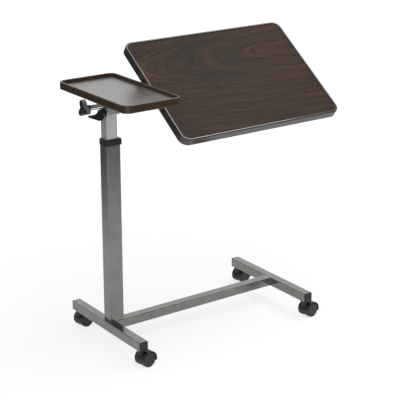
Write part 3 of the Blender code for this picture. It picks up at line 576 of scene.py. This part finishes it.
def walnut(name, place_of_board, turn_of_board):
    """Dark walnut: arched figure along the board, streaks, and fine pores."""
    made, tree, shader = blank(name, Specular_IOR_Level=0.08)
    start = add(tree, "TexCoord").outputs["Object"]
    shift = {"Vector": start, "Location": place_of_board, "Rotation": turn_of_board}
    board = add(tree, "Mapping", shift, vector_type="TEXTURE").outputs["Vector"]

    def stretched(scale, seed):
        return add(tree, "Mapping", {"Vector": board, "Scale": scale, "Location": seed}).outputs["Vector"]

    # Rings of a log that leans away to the right, cut by the board: nested arches along its length
    parts = add(tree, "SeparateXYZ", {"Vector": board})
    wander = noise(tree, stretched((3.4, 9.0, 9.0), (4.1, 0.3, 0)), 1.0, 2.0)
    ripple = noise(tree, stretched((9.0, 46.0, 46.0), (0.7, 2.2, 0)), 1.0, 3.0)
    across = add(tree, "Math", {0: parts.outputs["Y"], 1: -0.105}, operation="ADD").outputs[0]
    across = add(tree, "Math", {0: wander, 1: 0.038, 2: across}, operation="MULTIPLY_ADD").outputs[0]
    deep = add(tree, "Math", {0: parts.outputs["X"], 1: -0.13, 2: 0.058}, operation="MULTIPLY_ADD").outputs[0]
    radius = add(tree, "CombineXYZ", {"X": across, "Y": deep})
    radius = add(tree, "VectorMath", {0: radius.outputs[0]}, operation="LENGTH").outputs["Value"]
    radius = add(tree, "Math", {0: ripple, 1: 0.010, 2: radius}, operation="MULTIPLY_ADD").outputs[0]
    log = add(tree, "CombineXYZ", {"X": parts.outputs["X"], "Y": radius}).outputs[0]

    def in_log(along, out, seed, detail, rough):
        at = add(tree, "Mapping", {"Vector": log, "Scale": (along, out, 1), "Location": (seed, seed, 0)})
        return noise(tree, at.outputs["Vector"], 1.0, detail, rough)

    rings = in_log(3.0, 140.0, 1.7, 3.0, 0.6)
    streaks = in_log(11.0, 420.0, 5.2, 4.0, 0.7)
    pores = noise(tree, stretched((60.0, 1000.0, 1000.0), (0, 0, 0)), 1.0, 2.0)
    shade = add(tree, "Mix", {"Factor": 0.50, "A": rings, "B": streaks}).outputs["Result"]
    shade = add(tree, "Mix", {"Factor": 0.22, "A": shade, "B": pores}).outputs["Result"]
    stops = [
        (0.415, (0.020, 0.018, 0.014)),
        (0.475, (0.034, 0.025, 0.018)),
        (0.535, (0.058, 0.032, 0.020)),
        (0.615, (0.122, 0.046, 0.022)),
    ]
    tree.links.new(ramp(tree, shade, stops), shader.inputs["Base Color"])
    tree.links.new(between(tree, pores, 0.50, 0.40), shader.inputs["Roughness"])
    relief(tree, shader, pores, 0.10, 0.0001)
    return made


paint = grained(
    "frame_paint", (0.205, 0.200, 0.191), (0.275, 0.268, 0.256), 1400.0, (0.24, 0.17), 0.05, Metallic=0.82
)
zinc = galvanised("zinc_steel")
bright = drawn_steel("drawn_steel")
chrome = grained(
    "chrome", (0.66, 0.66, 0.65), (0.78, 0.78, 0.77), 500.0, (0.20, 0.12), 0.01, Metallic=1.0
)
steel = grained(
    "plain_steel", (0.26, 0.26, 0.255), (0.36, 0.36, 0.35), 800.0, (0.48, 0.36), 0.06, Metallic=1.0
)
black = grained("black_plastic", (0.010, 0.010, 0.011), (0.019, 0.019, 0.020), 1600.0, (0.46, 0.36), 0.10)
matt = grained(
    "lever_plastic", (0.004, 0.004, 0.004), (0.009, 0.009, 0.009), 1500.0, (0.60, 0.50), 0.10,
    Specular_IOR_Level=0.3
)
# Lighter grey for the knob's sides: a painted sheen standing for the light that falls on them
painted_sheen = grained("knob_painted_sheen", (0.100, 0.100, 0.098), (0.150, 0.150, 0.147), 900.0, (0.50, 0.38), 0.12)
tyre = grained("wheel_plastic", (0.018, 0.018, 0.018), (0.032, 0.032, 0.031), 1300.0, (0.52, 0.40), 0.10)
tray_brown = grained(
    "tray_moulding", (0.040, 0.022, 0.0095), (0.066, 0.037, 0.016), 700.0, (0.20, 0.12), 0.03,
    Specular_IOR_Level=0.6
)
tray_face = grained(
    "tray_panel", (0.034, 0.026, 0.021), (0.056, 0.043, 0.035), 1100.0, (0.38, 0.31), 0.03,
    (0.15, 1, 1), Coat_Weight=1.0, Coat_Roughness=0.30
)
edge_brown = grained(
    "edge_moulding", (0.034, 0.027, 0.022), (0.052, 0.041, 0.034), 900.0, (0.20, 0.12), 0.03,
    Specular_IOR_Level=0.6, Coat_Weight=0.35, Coat_Roughness=0.08
)
backer = grained("board_backer", (0.030, 0.024, 0.020), (0.052, 0.042, 0.034), 400.0, (0.62, 0.48), 0.08)


# Base frame

def make_base():
    for side in ("left", "right"):
        node = side + "_leg"
        leg = square_tube(node + "_tube", node, 1, LEG_CORNER, LEG_WALL)
        for end in ("front", "rear"):
            low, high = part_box(f"{side}_{end}_caster_stem")
            at = (low + high) / 2
            below = (at.x, at.y, leg_low.z - PAST)
            above = (at.x, at.y, leg_low.z + SOCKET_HOLE_DEPTH)
            cut(leg, rod("socket_hole", below, above, SOCKET_HOLE, 32))
        fit(leg, "base", paint, "frame_paint", node)
    stretcher = square_tube("stretcher_tube", "stretcher", 0, LEG_CORNER, LEG_WALL)
    fit(stretcher, "base", paint, "frame_paint", "stretcher")
    post = square_tube("post_tube", "outer_post", 2, POST_CORNER, LEG_WALL)
    fit(post, "base", paint, "frame_paint", "outer_post")
    for node in ("leg_bolt", "stretcher_bolt"):
        make_hex_bolt(node)
    for side in ("left", "right"):
        for end in ("front", "rear"):
            make_plug(f"{side}_{end}_plug", -1 if end == "front" else 1)


def make_plug(node, end):
    """Cap with a crowned face and rounded edges, and its spigot in the leg."""
    low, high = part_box(node)
    outer, inner = (low.y, high.y) if end < 0 else (high.y, low.y)
    seat = outer - end * PLUG_LIP
    plug = block(node + "_cap", (low.x, min(outer, seat), low.z), (high.x, max(outer, seat), high.z))
    open_up(plug)
    edges(lambda at, way: abs(way.y) > ALONG)
    bevel(LEG_CORNER, TUBE_STEPS)
    faces(lambda at, normal: normal.y * end < -ALONG)
    bpy.ops.mesh.inset(thickness=LEG_WALL + SEAT)
    extrude((0, inner - seat, 0))
    edges(lambda at, way: abs(at.y - outer) < NEAR / 2 and abs(way.y) < ACROSS)
    bevel(PLUG_ROUND, 3)
    faces(lambda at, normal: normal.y * end > FLAT)
    bpy.ops.mesh.inset(thickness=PLUG_CROWN_INSET)
    extrude((0, end * PLUG_CROWN, 0))
    close()
    fit(plug, "base", black, "black_plastic", node)


def make_hex_bolt(node):
    """Bolt with a washer face and a chamfered hexagon head."""
    low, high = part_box(node)
    at = (low + high) / 2
    shank = turned(node + "_shank", [
        (0.0079, 0.0044), (0.0079, 0.0050), (0.004, 0.0050), (0.004, high.z - low.z)
    ])
    head = turned(node + "_head", [(0.0068, 0), (0.0074, 0.0006), (0.0074, 0.0044)], 6)
    bolt = join([head, shank], node + "_hexagon")
    place(bolt, (at.x, at.y, low.z))
    fit(bolt, "base", steel, "plain_steel", node)


def make_welds():
    """Rippled beads where the stretcher meets the legs and where the post stands on them."""
    low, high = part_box("stretcher")
    beads = []

    def bead(start, end):
        start, end = Vector(start), Vector(end)
        count = max(2, round((end - start).length / WELD_PITCH))
        put_down()
        bpy.ops.mesh.primitive_uv_sphere_add(segments=10, ring_count=6, radius=WELD_RADIUS, location=start)
        ripple = settle("weld_ripple")
        step = (end - start) / (count - 1)
        modify(
            ripple, "ARRAY", count=count, use_relative_offset=False,
            use_constant_offset=True, constant_offset_displace=step
        )
        beads.append(ripple)

    inset = LEG_CORNER
    for x in (high.x, low.x):
        bead((x, low.y, low.z + inset), (x, low.y, high.z - inset))
        bead((x, high.y, low.z + inset), (x, high.y, high.z - inset))
        bead((x, low.y + inset, low.z), (x, high.y - inset, low.z))
    foot = post_low.z
    right = leg_high.x
    bead((post_low.x, post_low.y + inset, foot), (post_low.x, post_high.y - inset, foot))
    bead((post_low.x + inset, post_high.y, foot), (right - inset, post_high.y, foot))
    welds = join(beads, "base_welds")
    fit(welds, "base", paint, "frame_paint")


def make_collar():
    """Cap over the post's end: rounded skirt, softened top and a bore for the column."""
    low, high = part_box("post_collar")
    skirt_low = high.z - COLLAR_SKIRT
    collar = block("post_collar_cap", (low.x, low.y, skirt_low), high)
    open_up(collar)
    edges(lambda at, way: abs(way.z) > ALONG)
    bevel(COLLAR_CORNER, TUBE_STEPS)
    edges(lambda at, way: at.z > high.z - NEAR)
    bevel(COLLAR_ROUND, 3)
    edges(lambda at, way: at.z < skirt_low + NEAR)
    bevel(COLLAR_FOOT_ROUND, 2)
    close()
    spare = Vector((SEAT, SEAT, 0))
    room = block("post_room", post_low - spare, post_high + spare + Vector((0, 0, SEAT)))
    round_along(room, 2, POST_CORNER)
    cut(collar, room)
    play = Vector((RUN, RUN, 0))
    past = Vector((column_high.x, column_high.y, high.z + COLLAR_BORE_PAST))
    bore = block("column_bore", column_low - play, past + play)
    round_along(bore, 2, COLUMN_CORNER)
    cut(collar, bore)
    fit(collar, "base", black, "black_plastic", "post_collar")


# Casters

def hood_outline():
    points = []
    steps = 40
    for step in range(steps + 1):
        angle = HOOD_REAR + (HOOD_FRONT - HOOD_REAR) * step / steps
        points.append((HOOD_RADIUS * cos(angle), -HOOD_HALF, HOOD_RADIUS * sin(angle)))
    for step in range(steps + 1):
        angle = HOOD_FRONT + (2 * pi - HOOD_FRONT + HOOD_REAR) * step / steps
        points.append((HOOD_WEB * cos(angle), -HOOD_HALF, HOOD_WEB * sin(angle)))
    return points


def make_hood_shape():
    """Hood about its axle: arched cover, web between the wheels and boss round the stem."""
    boss_top = leg_low.z - BOSS_BELOW_LEG - AXLE_HEIGHT
    hood = outlined("caster_hood", hood_outline(), (0, 2 * HOOD_HALF, 0))
    boss = turned("caster_boss", [
        (BOSS_RADIUS, boss_top - BOSS_DEPTH), (BOSS_RADIUS, boss_top - BOSS_CHAMFER),
        (BOSS_RADIUS - BOSS_CHAMFER, boss_top)
    ])
    place(boss, (-CASTER_TRAIL, 0, 0))
    cut(hood, boss, "UNION")
    for side in (-1, 1):
        start = (0, side * WEB_HALF, 0)
        end = (0, side * (HOOD_HALF + PAST), 0)
        cut(hood, rod("wheel_room", start, end, WHEEL_ROOM, 96))
    well_low = (-CASTER_TRAIL, 0, boss_top - STEM_WELL_DEPTH)
    well_high = (-CASTER_TRAIL, 0, boss_top + PAST)
    cut(hood, rod("stem_well", well_low, well_high, STEM_WELL, 32))
    reach = Vector((0, AXLE_HOLE_REACH, 0))
    cut(hood, rod("axle_hole", -reach, reach, AXLE_HOLE, 24))
    soften(hood, CAST_EASE, 2, 35)
    return hood


def make_wheel_shape():
    """Wheel with its inner face at zero: round shoulders, a bevelled rim and a dished face."""
    return turned("caster_wheel", [
        (0.0205, 0), (0.0222, 0.0003), (0.0231, 0.0009), (WHEEL_RADIUS, 0.0022), (WHEEL_RADIUS, 0.0139),
        (0.02335, 0.0147), (0.0229, 0.0155), (0.0222, 0.0162), (0.0206, 0.0170), (0.0200, WHEEL_WIDTH),
        (0.0194, 0.0171), (0.0190, 0.0167), (0.0186, 0.0166), (0.0060, 0.0163), (0.0056, 0.0166),
        (0.0050, 0.0167)
    ], 96)


def make_casters():
    hood = make_hood_shape()
    wheel = make_wheel_shape()
    for side in ("left", "right"):
        for end in ("front", "rear"):
            name = f"{side}_{end}_caster"
            low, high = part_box(name + "_stem")
            stem = (low + high) / 2
            axle = Vector((
                stem.x + CASTER_TRAIL * cos(CASTER_YAW), stem.y + CASTER_TRAIL * sin(CASTER_YAW), AXLE_HEIGHT
            ))
            cover = place(copy_of(hood, name + "_cover"), axle, (0, 0, CASTER_YAW))
            fit(cover, name, black, "black_plastic", name + "_hood")
            for letter, way in (("a", -1), ("b", 1)):
                tread = copy_of(wheel, f"{name}_tread_{letter}")
                place(tread, (0, way * WHEEL_INNER, 0), (-way * pi / 2, 0, 0))
                place(tread, axle, (0, 0, CASTER_YAW))
                fit(tread, f"{name}_wheel_{letter}", tyre, "wheel_plastic", f"{name}_wheel_{letter}")
    bpy.data.objects.remove(hood)
    bpy.data.objects.remove(wheel)


# Column head

def make_column():
    tube = square_tube("column_tube", "inner_post", 2, COLUMN_CORNER, LEG_WALL)
    fit(tube, "column", bright, "zinc_steel", "inner_post")
    make_bracket()
    make_lever_pin()
    make_housing()


def make_bracket():
    """Folded from one sheet: base, cheeks, top flanges and two front tabs, with punched holes."""
    half = BRACKET_SHEET / 2
    cheek = column_high.y - axis.y + half
    low = bracket_low.z + half
    high = bracket_high.z - half
    left = bracket_low.x
    right = bracket_high.x
    put_down()
    bpy.ops.mesh.primitive_plane_add(size=1, location=((left + half + right) / 2, axis.y, low))
    bpy.context.object.scale = (right - left - half, 2 * cheek, 1)
    bracket = settle("folded_bracket")
    open_up(bracket)
    for y in (-TAB_OUTER, -TAB_INNER, TAB_INNER, TAB_OUTER):
        bpy.ops.mesh.select_all(action="SELECT")
        bpy.ops.mesh.bisect(plane_co=(0, axis.y + y, low), plane_no=(0, 1, 0))
    edges(lambda at, way: at.x < left + half + NEAR and TAB_INNER < abs(at.y - axis.y) < TAB_OUTER)
    extrude((0, 0, TAB_HEIGHT - half))
    edges(lambda at, way: abs(at.y - axis.y) > cheek - NEAR)
    extrude((0, 0, high - low))
    for side in (-1, 1):
        edges(lambda at, way: at.z > high - NEAR and (at.y - axis.y) * side > NEAR)
        extrude((0, side * (BRACKET_FLANGE + half), 0))
    edges(lambda at, way: abs(way.x) > ALONG and abs(abs(at.y - axis.y) - cheek) < NEAR)
    bevel(BRACKET_FOLD, 4)
    close()
    modify(bracket, "SOLIDIFY", thickness=BRACKET_SHEET, offset=0, use_even_offset=True)
    pin_low, pin_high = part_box("lever_pin")
    pin = (pin_low + pin_high) / 2
    reach = Vector((0, PIN_HOLE_REACH, 0))
    cut(bracket, rod("pin_hole", pin - reach, pin + reach, PIN_HOLE, 24))
    small = pin + SMALL_HOLE_FROM_PIN
    cut(bracket, rod("small_hole", small - reach, small + reach, SMALL_HOLE, 24))
    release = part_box("release_pin")
    at = (release[0] + release[1]) / 2
    depth = Vector((0, 0, RELEASE_REACH))
    cut(bracket, rod("release_hole", at - depth, at + depth, RELEASE_HOLE, 24))
    soften(bracket, SHEET_EASE, 2, 40)
    fit(bracket, "column", zinc, "zinc_steel", "head_bracket")


def make_lever_pin():
    """Pin with a domed head on each cheek."""
    low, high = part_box("lever_pin")
    at = (low + high) / 2
    half = (high.y - low.y) / 2
    head = half - 0.002
    pin = turned("lever_pivot_pin", [
        (0.0026, -half), (0.0034, -half + 0.0004), (0.0037, -half + 0.0010), (0.0037, -head), (0.002, -head),
        (0.002, head), (0.0037, head), (0.0037, half - 0.0010), (0.0034, half - 0.0004), (0.0026, half)
    ], 32)
    place(pin, at, (pi / 2, 0, 0))
    fit(pin, "column", chrome, "chrome", "lever_pin")


def make_housing():
    """Cast block between the cheeks, bored for the tilt shaft."""
    low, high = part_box("pivot_housing")
    housing = block("tilt_housing", low, high)
    round_along(housing, 0, HOUSING_CORNER)
    start = (low.x - HOUSING_BORE_PAST, axis.y, axis.z)
    end = (high.x + HOUSING_BORE_PAST, axis.y, axis.z)
    cut(housing, rod("shaft_bore", start, end, TUBE_RADIUS + RUN, 48))
    soften(housing, CAST_EASE, 2, 40)
    fit(housing, "column", zinc, "zinc_steel", "pivot_housing")


def make_lever():
    """Boot-shaped paddle with a neck between the tabs and a finger over the release pin."""
    pin_low, pin_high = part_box("lever_pin")
    pin = (pin_low + pin_high) / 2
    face = column_low.x
    head = column_high.z
    boot = [
        (-0.0455, 0.0006), (-0.0445, -0.0006), (-0.0300, -0.0068), (-0.0205, -0.0112), (-0.0160, -0.0112),
        (-0.0070, -0.0089), (-0.0045, -0.0064), (-0.0045, 0.0160), (-0.0115, 0.0160), (-0.0135, 0.0110),
        (-0.0170, 0.0062), (-0.0230, 0.0040), (-0.0330, 0.0036), (-0.0430, 0.0044), (-0.0452, 0.0030)
    ]
    start = pin.y - LEVER_WIDTH / 2
    lever = outlined("release_paddle", [(face + x, start, head + z) for x, z in boot], (0, LEVER_WIDTH, 0))
    soften(lever, LEVER_ROUND, 4, 25)
    start = pin.y - NECK_WIDTH / 2
    root = face - NECK_ROOT
    back = pin.x + NECK_HALF
    tip = pin.x + FINGER_REACH
    neck = outlined("release_neck", [
        (root, start, pin.z - NECK_HALF), (back, start, pin.z - NECK_HALF),
        (back, start, head + FINGER_LOW), (tip, start, head + FINGER_LOW),
        (tip, start, head + FINGER_HIGH), (back, start, head + FINGER_HIGH),
        (pin.x + NECK_SHOULDER, start, pin.z + NECK_HALF), (root, start, pin.z + NECK_HALF)
    ], (0, NECK_WIDTH, 0))
    soften(neck, NECK_EASE, 2, 30)
    cut(lever, neck, "UNION")
    fit(lever, "height_lever", matt, "black_plastic", "height_lever")


# Tilt knob and its clamp

def make_knob():
    """Three-lobed hand knob: scooped out of a round, rounded all over, with a hub behind."""
    low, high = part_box("tilt_knob")
    front = low.x
    hub_end = high.x
    back = hub_end - HUB_LENGTH
    outline = []
    for step in range(KNOB_STEPS):
        angle = 2 * pi * step / KNOB_STEPS
        radius = KNOB_RADIUS + KNOB_LOBE * cos(3 * (angle - KNOB_TURN))
        outline.append((front, axis.y + radius * cos(angle), axis.z + radius * sin(angle)))
    knob = outlined("hand_knob", outline, (back - front, 0, 0))
    soften(knob, KNOB_ROUND, 4, 50)
    knob.data.materials.append(black)
    knob.data.materials.append(painted_sheen)
    open_up(knob)
    # The side faces take the lighter grey: a painted sheen, not a different plastic
    faces(lambda at, normal: abs(normal.x) < 0.4)
    knob.active_material_index = 1
    bpy.ops.object.material_slot_assign()
    close()
    hub = turned("knob_hub", [
        (0.0125, 0), (0.0112, 0.0012), (0.0098, 0.0040), (0.0092, 0.0072), (0.0086, HUB_LENGTH)
    ], 48)
    place(hub, (back - HUB_SINK, axis.y, axis.z), (0, pi / 2, 0))
    cut(knob, hub, "UNION")
    fit(knob, "tilt_knob", black, "black_plastic", "tilt_knob")
    low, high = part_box("clamp_sleeve")
    length = high.x - low.x
    sleeve = turned("bright_sleeve", [
        (0.0052, 0), (0.0089, 0), (0.0095, 0.0005), (0.0095, 0.0020), (0.0090, 0.0025), (0.0080, 0.0027),
        (0.0077, 0.0033), (0.0077, length - 0.0006), (0.0072, length), (0.0052, length)
    ], 64, True)
    place(sleeve, (low.x, axis.y, axis.z), (0, pi / 2, 0))
    fit(sleeve, "tilt_knob", chrome, "chrome", "clamp_sleeve")


# Side tray

def make_tray():
    low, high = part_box("tray_rim")
    floor_low, floor_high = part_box("tray_floor")
    middle = (low + high) / 2
    ledge_high = floor_low.z - SEAT
    rim = moulding(
        "tray_frame", low, high, TRAY_CORNER, TRAY_RIM, TRAY_LEDGE, TRAY_SKIRT,
        ledge_high - TRAY_LEDGE_DEPTH, ledge_high
    )
    round_rim(rim, low.z, high.z, middle, TRAY_ROUNDS)
    fit(rim, "column", tray_brown, "tray_moulding", "tray_rim")
    gap = TRAY_RIM + SEAT
    inside = Vector((gap, gap, 0))
    panel_low = Vector((low.x, low.y, floor_low.z)) + inside
    panel_high = Vector((high.x, high.y, floor_high.z)) - inside
    panel = slab("tray_panel_board", panel_low, panel_high, TRAY_CORNER - gap)
    soften(panel, BOARD_EASE, 2)
    fit(panel, "column", tray_face, "tray_panel", "tray_floor")
    plate_low, plate_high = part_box("tray_support_plate")
    plate = slab("tray_carrier", plate_low, plate_high, PLATE_CORNER, PLATE_STEPS)
    soften(plate, BOARD_EASE, 2)
    fit(plate, "column", steel, "plain_steel", "tray_support_plate")
    screws = []
    for x in (plate_low.x + TRAY_SCREW_INSET, plate_high.x - TRAY_SCREW_INSET):
        for y in (plate_low.y + TRAY_SCREW_INSET, plate_high.y - TRAY_SCREW_INSET):
            screws.append(place(screw(), (x, y, plate_low.z), (pi, 0, 0)))
    fit(join(screws, "tray_screws"), "column", steel, "plain_steel")


def screw():
    """Pan head with a cross recess, its seat at zero."""
    head = turned("pan_head", [
        (0.0020, -0.0015), (0.0020, -0.00005), (0.0040, -0.00005), (0.0040, 0.0009), (0.0036, 0.0017),
        (0.0028, 0.0022), (0.0015, 0.0024)
    ], 24)
    for size in ((0.0021, 0.0004), (0.0004, 0.0021)):
        cut(head, block("cross", (-size[0], -size[1], 0.0013), (size[0], size[1], 0.0040)))
    return head


# Main top, made level about the tilt axis and then set at its slope

def set_on_axis(piece):
    return place(piece, (0, axis.y, axis.z), (TOP_TILT, 0, 0))


def make_top():
    left = top_low.x
    right = top_high.x
    half = TOP_DEPTH / 2
    middle = ((left + right) / 2, 0, 0)
    edge = moulding(
        "top_frame", (left, -half, TOP_EDGE_LOW), (right, half, TOP_EDGE_HIGH), TOP_CORNER,
        TOP_EDGE, TOP_LEDGE, TOP_SKIRT, TOP_LEDGE_LOW, TOP_LEDGE_HIGH
    )
    round_rim(edge, TOP_EDGE_LOW, TOP_EDGE_HIGH, middle, TOP_ROUNDS)
    notch = TUBE_RADIUS + NOTCH_ROOM
    near = (left - PAST, -notch, NOTCH_LOW)
    cut(edge, block("tube_notch", near, (left + NOTCH_LENGTH, notch, notch)))
    set_on_axis(edge)
    fit(edge, "main_top", edge_brown, "edge_moulding", "top_edge")

    gap = TOP_EDGE + SEAT
    board = slab(
        "walnut_board", (left + gap, -half + gap, BOARD_LOW), (right - gap, half - gap, BOARD_HIGH),
        TOP_CORNER - gap
    )
    soften(board, BOARD_EASE, 2)
    board.data.materials.append(walnut_finish)
    board.data.materials.append(backer)
    open_up(board)
    faces(lambda at, normal: normal.z < -0.5)
    board.active_material_index = 1
    bpy.ops.object.material_slot_assign()
    close()
    set_on_axis(board)
    fit(board, "main_top", walnut_finish, "walnut_laminate", "top_board")

    screws = []
    for node in ("left_support_plate", "right_support_plate"):
        low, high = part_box(node)
        near = (low.x, -PLATE_LENGTH / 2, PLATE_LOW)
        far = (high.x, PLATE_LENGTH / 2, PLATE_LOW + PLATE_SHEET)
        plate = slab(node.replace("support_plate", "top_carrier"), near, far, PLATE_CORNER, PLATE_STEPS)
        soften(plate, BOARD_EASE, 2)
        set_on_axis(plate)
        fit(plate, "main_top", steel, "plain_steel", node)
        for x in (low.x + TOP_SCREW_INSET, high.x - TOP_SCREW_INSET):
            for y in TOP_SCREW_ROWS:
                screws.append(set_on_axis(place(screw(), (x, y, PLATE_LOW), (pi, 0, 0))))
        make_saddle(node, (low.x + high.x) / 2)
    fit(join(screws, "top_screws"), "main_top", steel, "plain_steel")

    low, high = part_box("pivot_tube")
    length = high.x - low.x
    tube = turned("tilt_shaft", [
        (0.0060, 0), (0.0076, 0), (TUBE_RADIUS, 0.0004), (TUBE_RADIUS, length - 0.0004),
        (0.0076, length), (0.0060, length)
    ], 64, True)
    place(tube, (low.x, axis.y, axis.z), (0, pi / 2, 0))
    fit(tube, "main_top", steel, "plain_steel", "pivot_tube")
    cap = turned("shaft_cap", [
        (0.0058, -0.008), (0.0058, 0.0001), (0.0079, 0.0001), (0.0082, 0.0008), (0.0078, 0.0020),
        (0.0062, 0.0027), (0.0030, 0.0030)
    ], 48)
    place(cap, (high.x, axis.y, axis.z), (0, pi / 2, 0))
    fit(cap, "main_top", black, "black_plastic")


def make_saddle(node, x):
    """Strap that holds the shaft to its plate: a half round with two feet."""
    inner = TUBE_RADIUS + SADDLE_ROOM
    outer = inner + SADDLE_SHEET
    foot = PLATE_LOW - SADDLE_GAP
    sole = foot - SADDLE_SHEET
    steps = 24
    points = []
    for step in range(steps + 1):
        angle = pi + pi * step / steps
        points.append((outer * cos(angle), outer * sin(angle)))
    points += [(outer, sole), (outer + SADDLE_FOOT, sole), (outer + SADDLE_FOOT, foot), (inner, foot)]
    for step in range(steps + 1):
        angle = 2 * pi - pi * step / steps
        points.append((inner * cos(angle), inner * sin(angle)))
    points += [(-inner, foot), (-outer - SADDLE_FOOT, foot), (-outer - SADDLE_FOOT, sole), (-outer, sole)]
    left = x - SADDLE_WIDTH / 2
    name = node.replace("support_plate", "shaft_saddle")
    strap = outlined(name, [(left, y, z) for y, z in points], (SADDLE_WIDTH, 0, 0))
    soften(strap, SHEET_EASE, 2, 40)
    set_on_axis(strap)
    fit(strap, "main_top", zinc, "zinc_steel")


# Studio

def mirrored_rays(tree, path):
    """One for a ray that comes off a shiny or a clear surface."""
    rays = {0: path.outputs["Is Glossy Ray"], 1: path.outputs["Is Transmission Ray"]}
    return add(tree, "Math", rays, operation="MAXIMUM").outputs[0]


def make_floor():
    put_down()
    bpy.ops.mesh.primitive_plane_add(size=24, location=(0, 0, 0))
    floor = settle("studio_floor")
    made = bpy.data.materials.new("studio_floor")
    made.use_nodes = True
    tree = made.node_tree
    tree.nodes.clear()
    out = add(tree, "OutputMaterial")
    path = add(tree, "LightPath")
    seen = mirrored_rays(tree, path)
    # Sideways of the camera the floor runs out of light
    side = object_place(tree, turn=(0, 0, CAMERA_TURN))
    parts = add(tree, "SeparateXYZ", {"Vector": side})
    left = between(tree, parts.outputs["X"], 0.10, 0.92, -2.1, -1.05)
    right = between(tree, parts.outputs["X"], 1.0, 0.25, 0.8, 2.0)
    behind = between(tree, parts.outputs["Y"], 0.0, 1.0, 0.4, 1.6)
    right = add(tree, "Math", {0: right, 1: behind}, operation="MAXIMUM").outputs[0]
    lit = add(tree, "Math", {0: left, 1: right}, operation="MULTIPLY").outputs[0]
    far = add(tree, "VectorMath", {0: side}, operation="LENGTH").outputs["Value"]
    fade = between(tree, far, 0.765, 0.97, 0.5, 3.6)

    def pale(albedo, glow):
        shade = add(tree, "BsdfDiffuse", {"Color": albedo})
        light = add(tree, "Emission", {"Strength": glow})
        return add(tree, "AddShader", {0: shade.outputs[0], 1: light.outputs[0]}).outputs[0]

    grey = add(tree, "Math", {0: lit, 1: 0.62}, operation="MULTIPLY").outputs[0]
    glow = add(tree, "Math", {0: lit, 1: 0.52}, operation="MULTIPLY").outputs[0]
    mirrored = pale(grey, glow)
    shown = pale((0.32, 0.32, 0.32, 1), fade)
    bounced = add(tree, "BsdfDiffuse", {"Color": (0.82, 0.82, 0.815, 1)}).outputs[0]
    mix = add(tree, "MixShader", {"Fac": seen, 1: bounced, 2: mirrored})
    mix = add(tree, "MixShader", {"Fac": path.outputs["Is Camera Ray"], 1: mix.outputs[0], 2: shown})
    tree.links.new(mix.outputs[0], out.inputs["Surface"])
    floor.data.materials.append(made)


def make_surroundings():
    world = bpy.data.worlds.new("studio")
    bpy.context.scene.world = world
    world.use_nodes = True
    tree = world.node_tree
    tree.nodes.clear()
    out = add(tree, "OutputWorld")
    path = add(tree, "LightPath")
    seen = mirrored_rays(tree, path)
    way = add(tree, "TexCoord").outputs["Generated"]
    turned_way = add(tree, "Mapping", {"Vector": way, "Rotation": (0, 0, CAMERA_TURN)}).outputs["Vector"]
    parts = add(tree, "SeparateXYZ", {"Vector": turned_way})
    ahead = between(tree, parts.outputs["Y"], 0.16, 1.0, 0.15, 0.75)
    room = add(tree, "Mix", {"Factor": seen, "A": 0.36, "B": ahead}).outputs["Result"]
    shown = {"Factor": path.outputs["Is Camera Ray"], "A": room, "B": 1.0}
    strength = add(tree, "Mix", shown).outputs["Result"]
    back = add(tree, "Background", {"Color": (1, 1, 1, 1), "Strength": strength})
    tree.links.new(back.outputs[0], out.inputs["Surface"])


def make_lamps():
    softbox("key", (0.55, -0.80, 2.90), 2.8, 30)
    softbox("spot", (1.48, -0.13, 2.96), 0.9, 14)
    softbox("fill", (-1.9, -1.2, 2.1), 1.6, 14)


def softbox(name, at, size, power):
    light = bpy.data.lights.new(name, "AREA")
    light.shape = "SQUARE"
    light.size = size
    light.energy = power
    lamp = bpy.data.objects.new(name, light)
    lamp.location = at
    lamp.rotation_euler = (Vector((0, 0, 0.4)) - Vector(at)).to_track_quat("-Z", "Y").to_euler()
    bpy.context.scene.collection.objects.link(lamp)


def make_camera():
    view = bpy.data.cameras.new("camera")
    view.lens = LENS
    view.sensor_width = 36
    view.clip_end = 60
    camera = bpy.data.objects.new("camera", view)
    camera.location = EYE
    camera.rotation_euler = (AIM - EYE).to_track_quat("-Z", "Y").to_euler()
    bpy.context.scene.collection.objects.link(camera)
    bpy.context.scene.camera = camera


def finish_hidden():
    """Procedural finishes for the solids that stay as they are."""
    finishes = {
        "gas_spring_cylinder": black,
        "gas_spring_guide": black,
        "gas_spring_rod": chrome,
        "lower_glide": black,
        "release_head": steel,
        "release_pin": steel,
        "post_foot_plate": steel,
        "clamp_rod": chrome,
        "tube_nut": steel,
    }
    for side in ("left", "right"):
        for end in ("front", "rear"):
            name = f"{side}_{end}_caster"
            finishes[name + "_stem"] = steel
            finishes[name + "_axle"] = steel
            finishes[name + "_socket"] = black
    for node, finish in finishes.items():
        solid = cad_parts[node]
        solid.data.materials.clear()
        solid.data.materials.append(finish)


bpy.context.view_layer.objects.active = None
put_down()
walnut_finish = walnut("walnut_laminate", ((top_low.x + top_high.x) / 2, axis.y, axis.z), (TOP_TILT, 0, 0))
make_camera()
make_floor()
make_surroundings()
make_lamps()
make_base()
make_welds()
make_collar()
make_casters()
make_column()
make_lever()
make_knob()
make_tray()
make_top()
finish_hidden()
bpy.context.scene.view_settings.view_transform = "Standard"
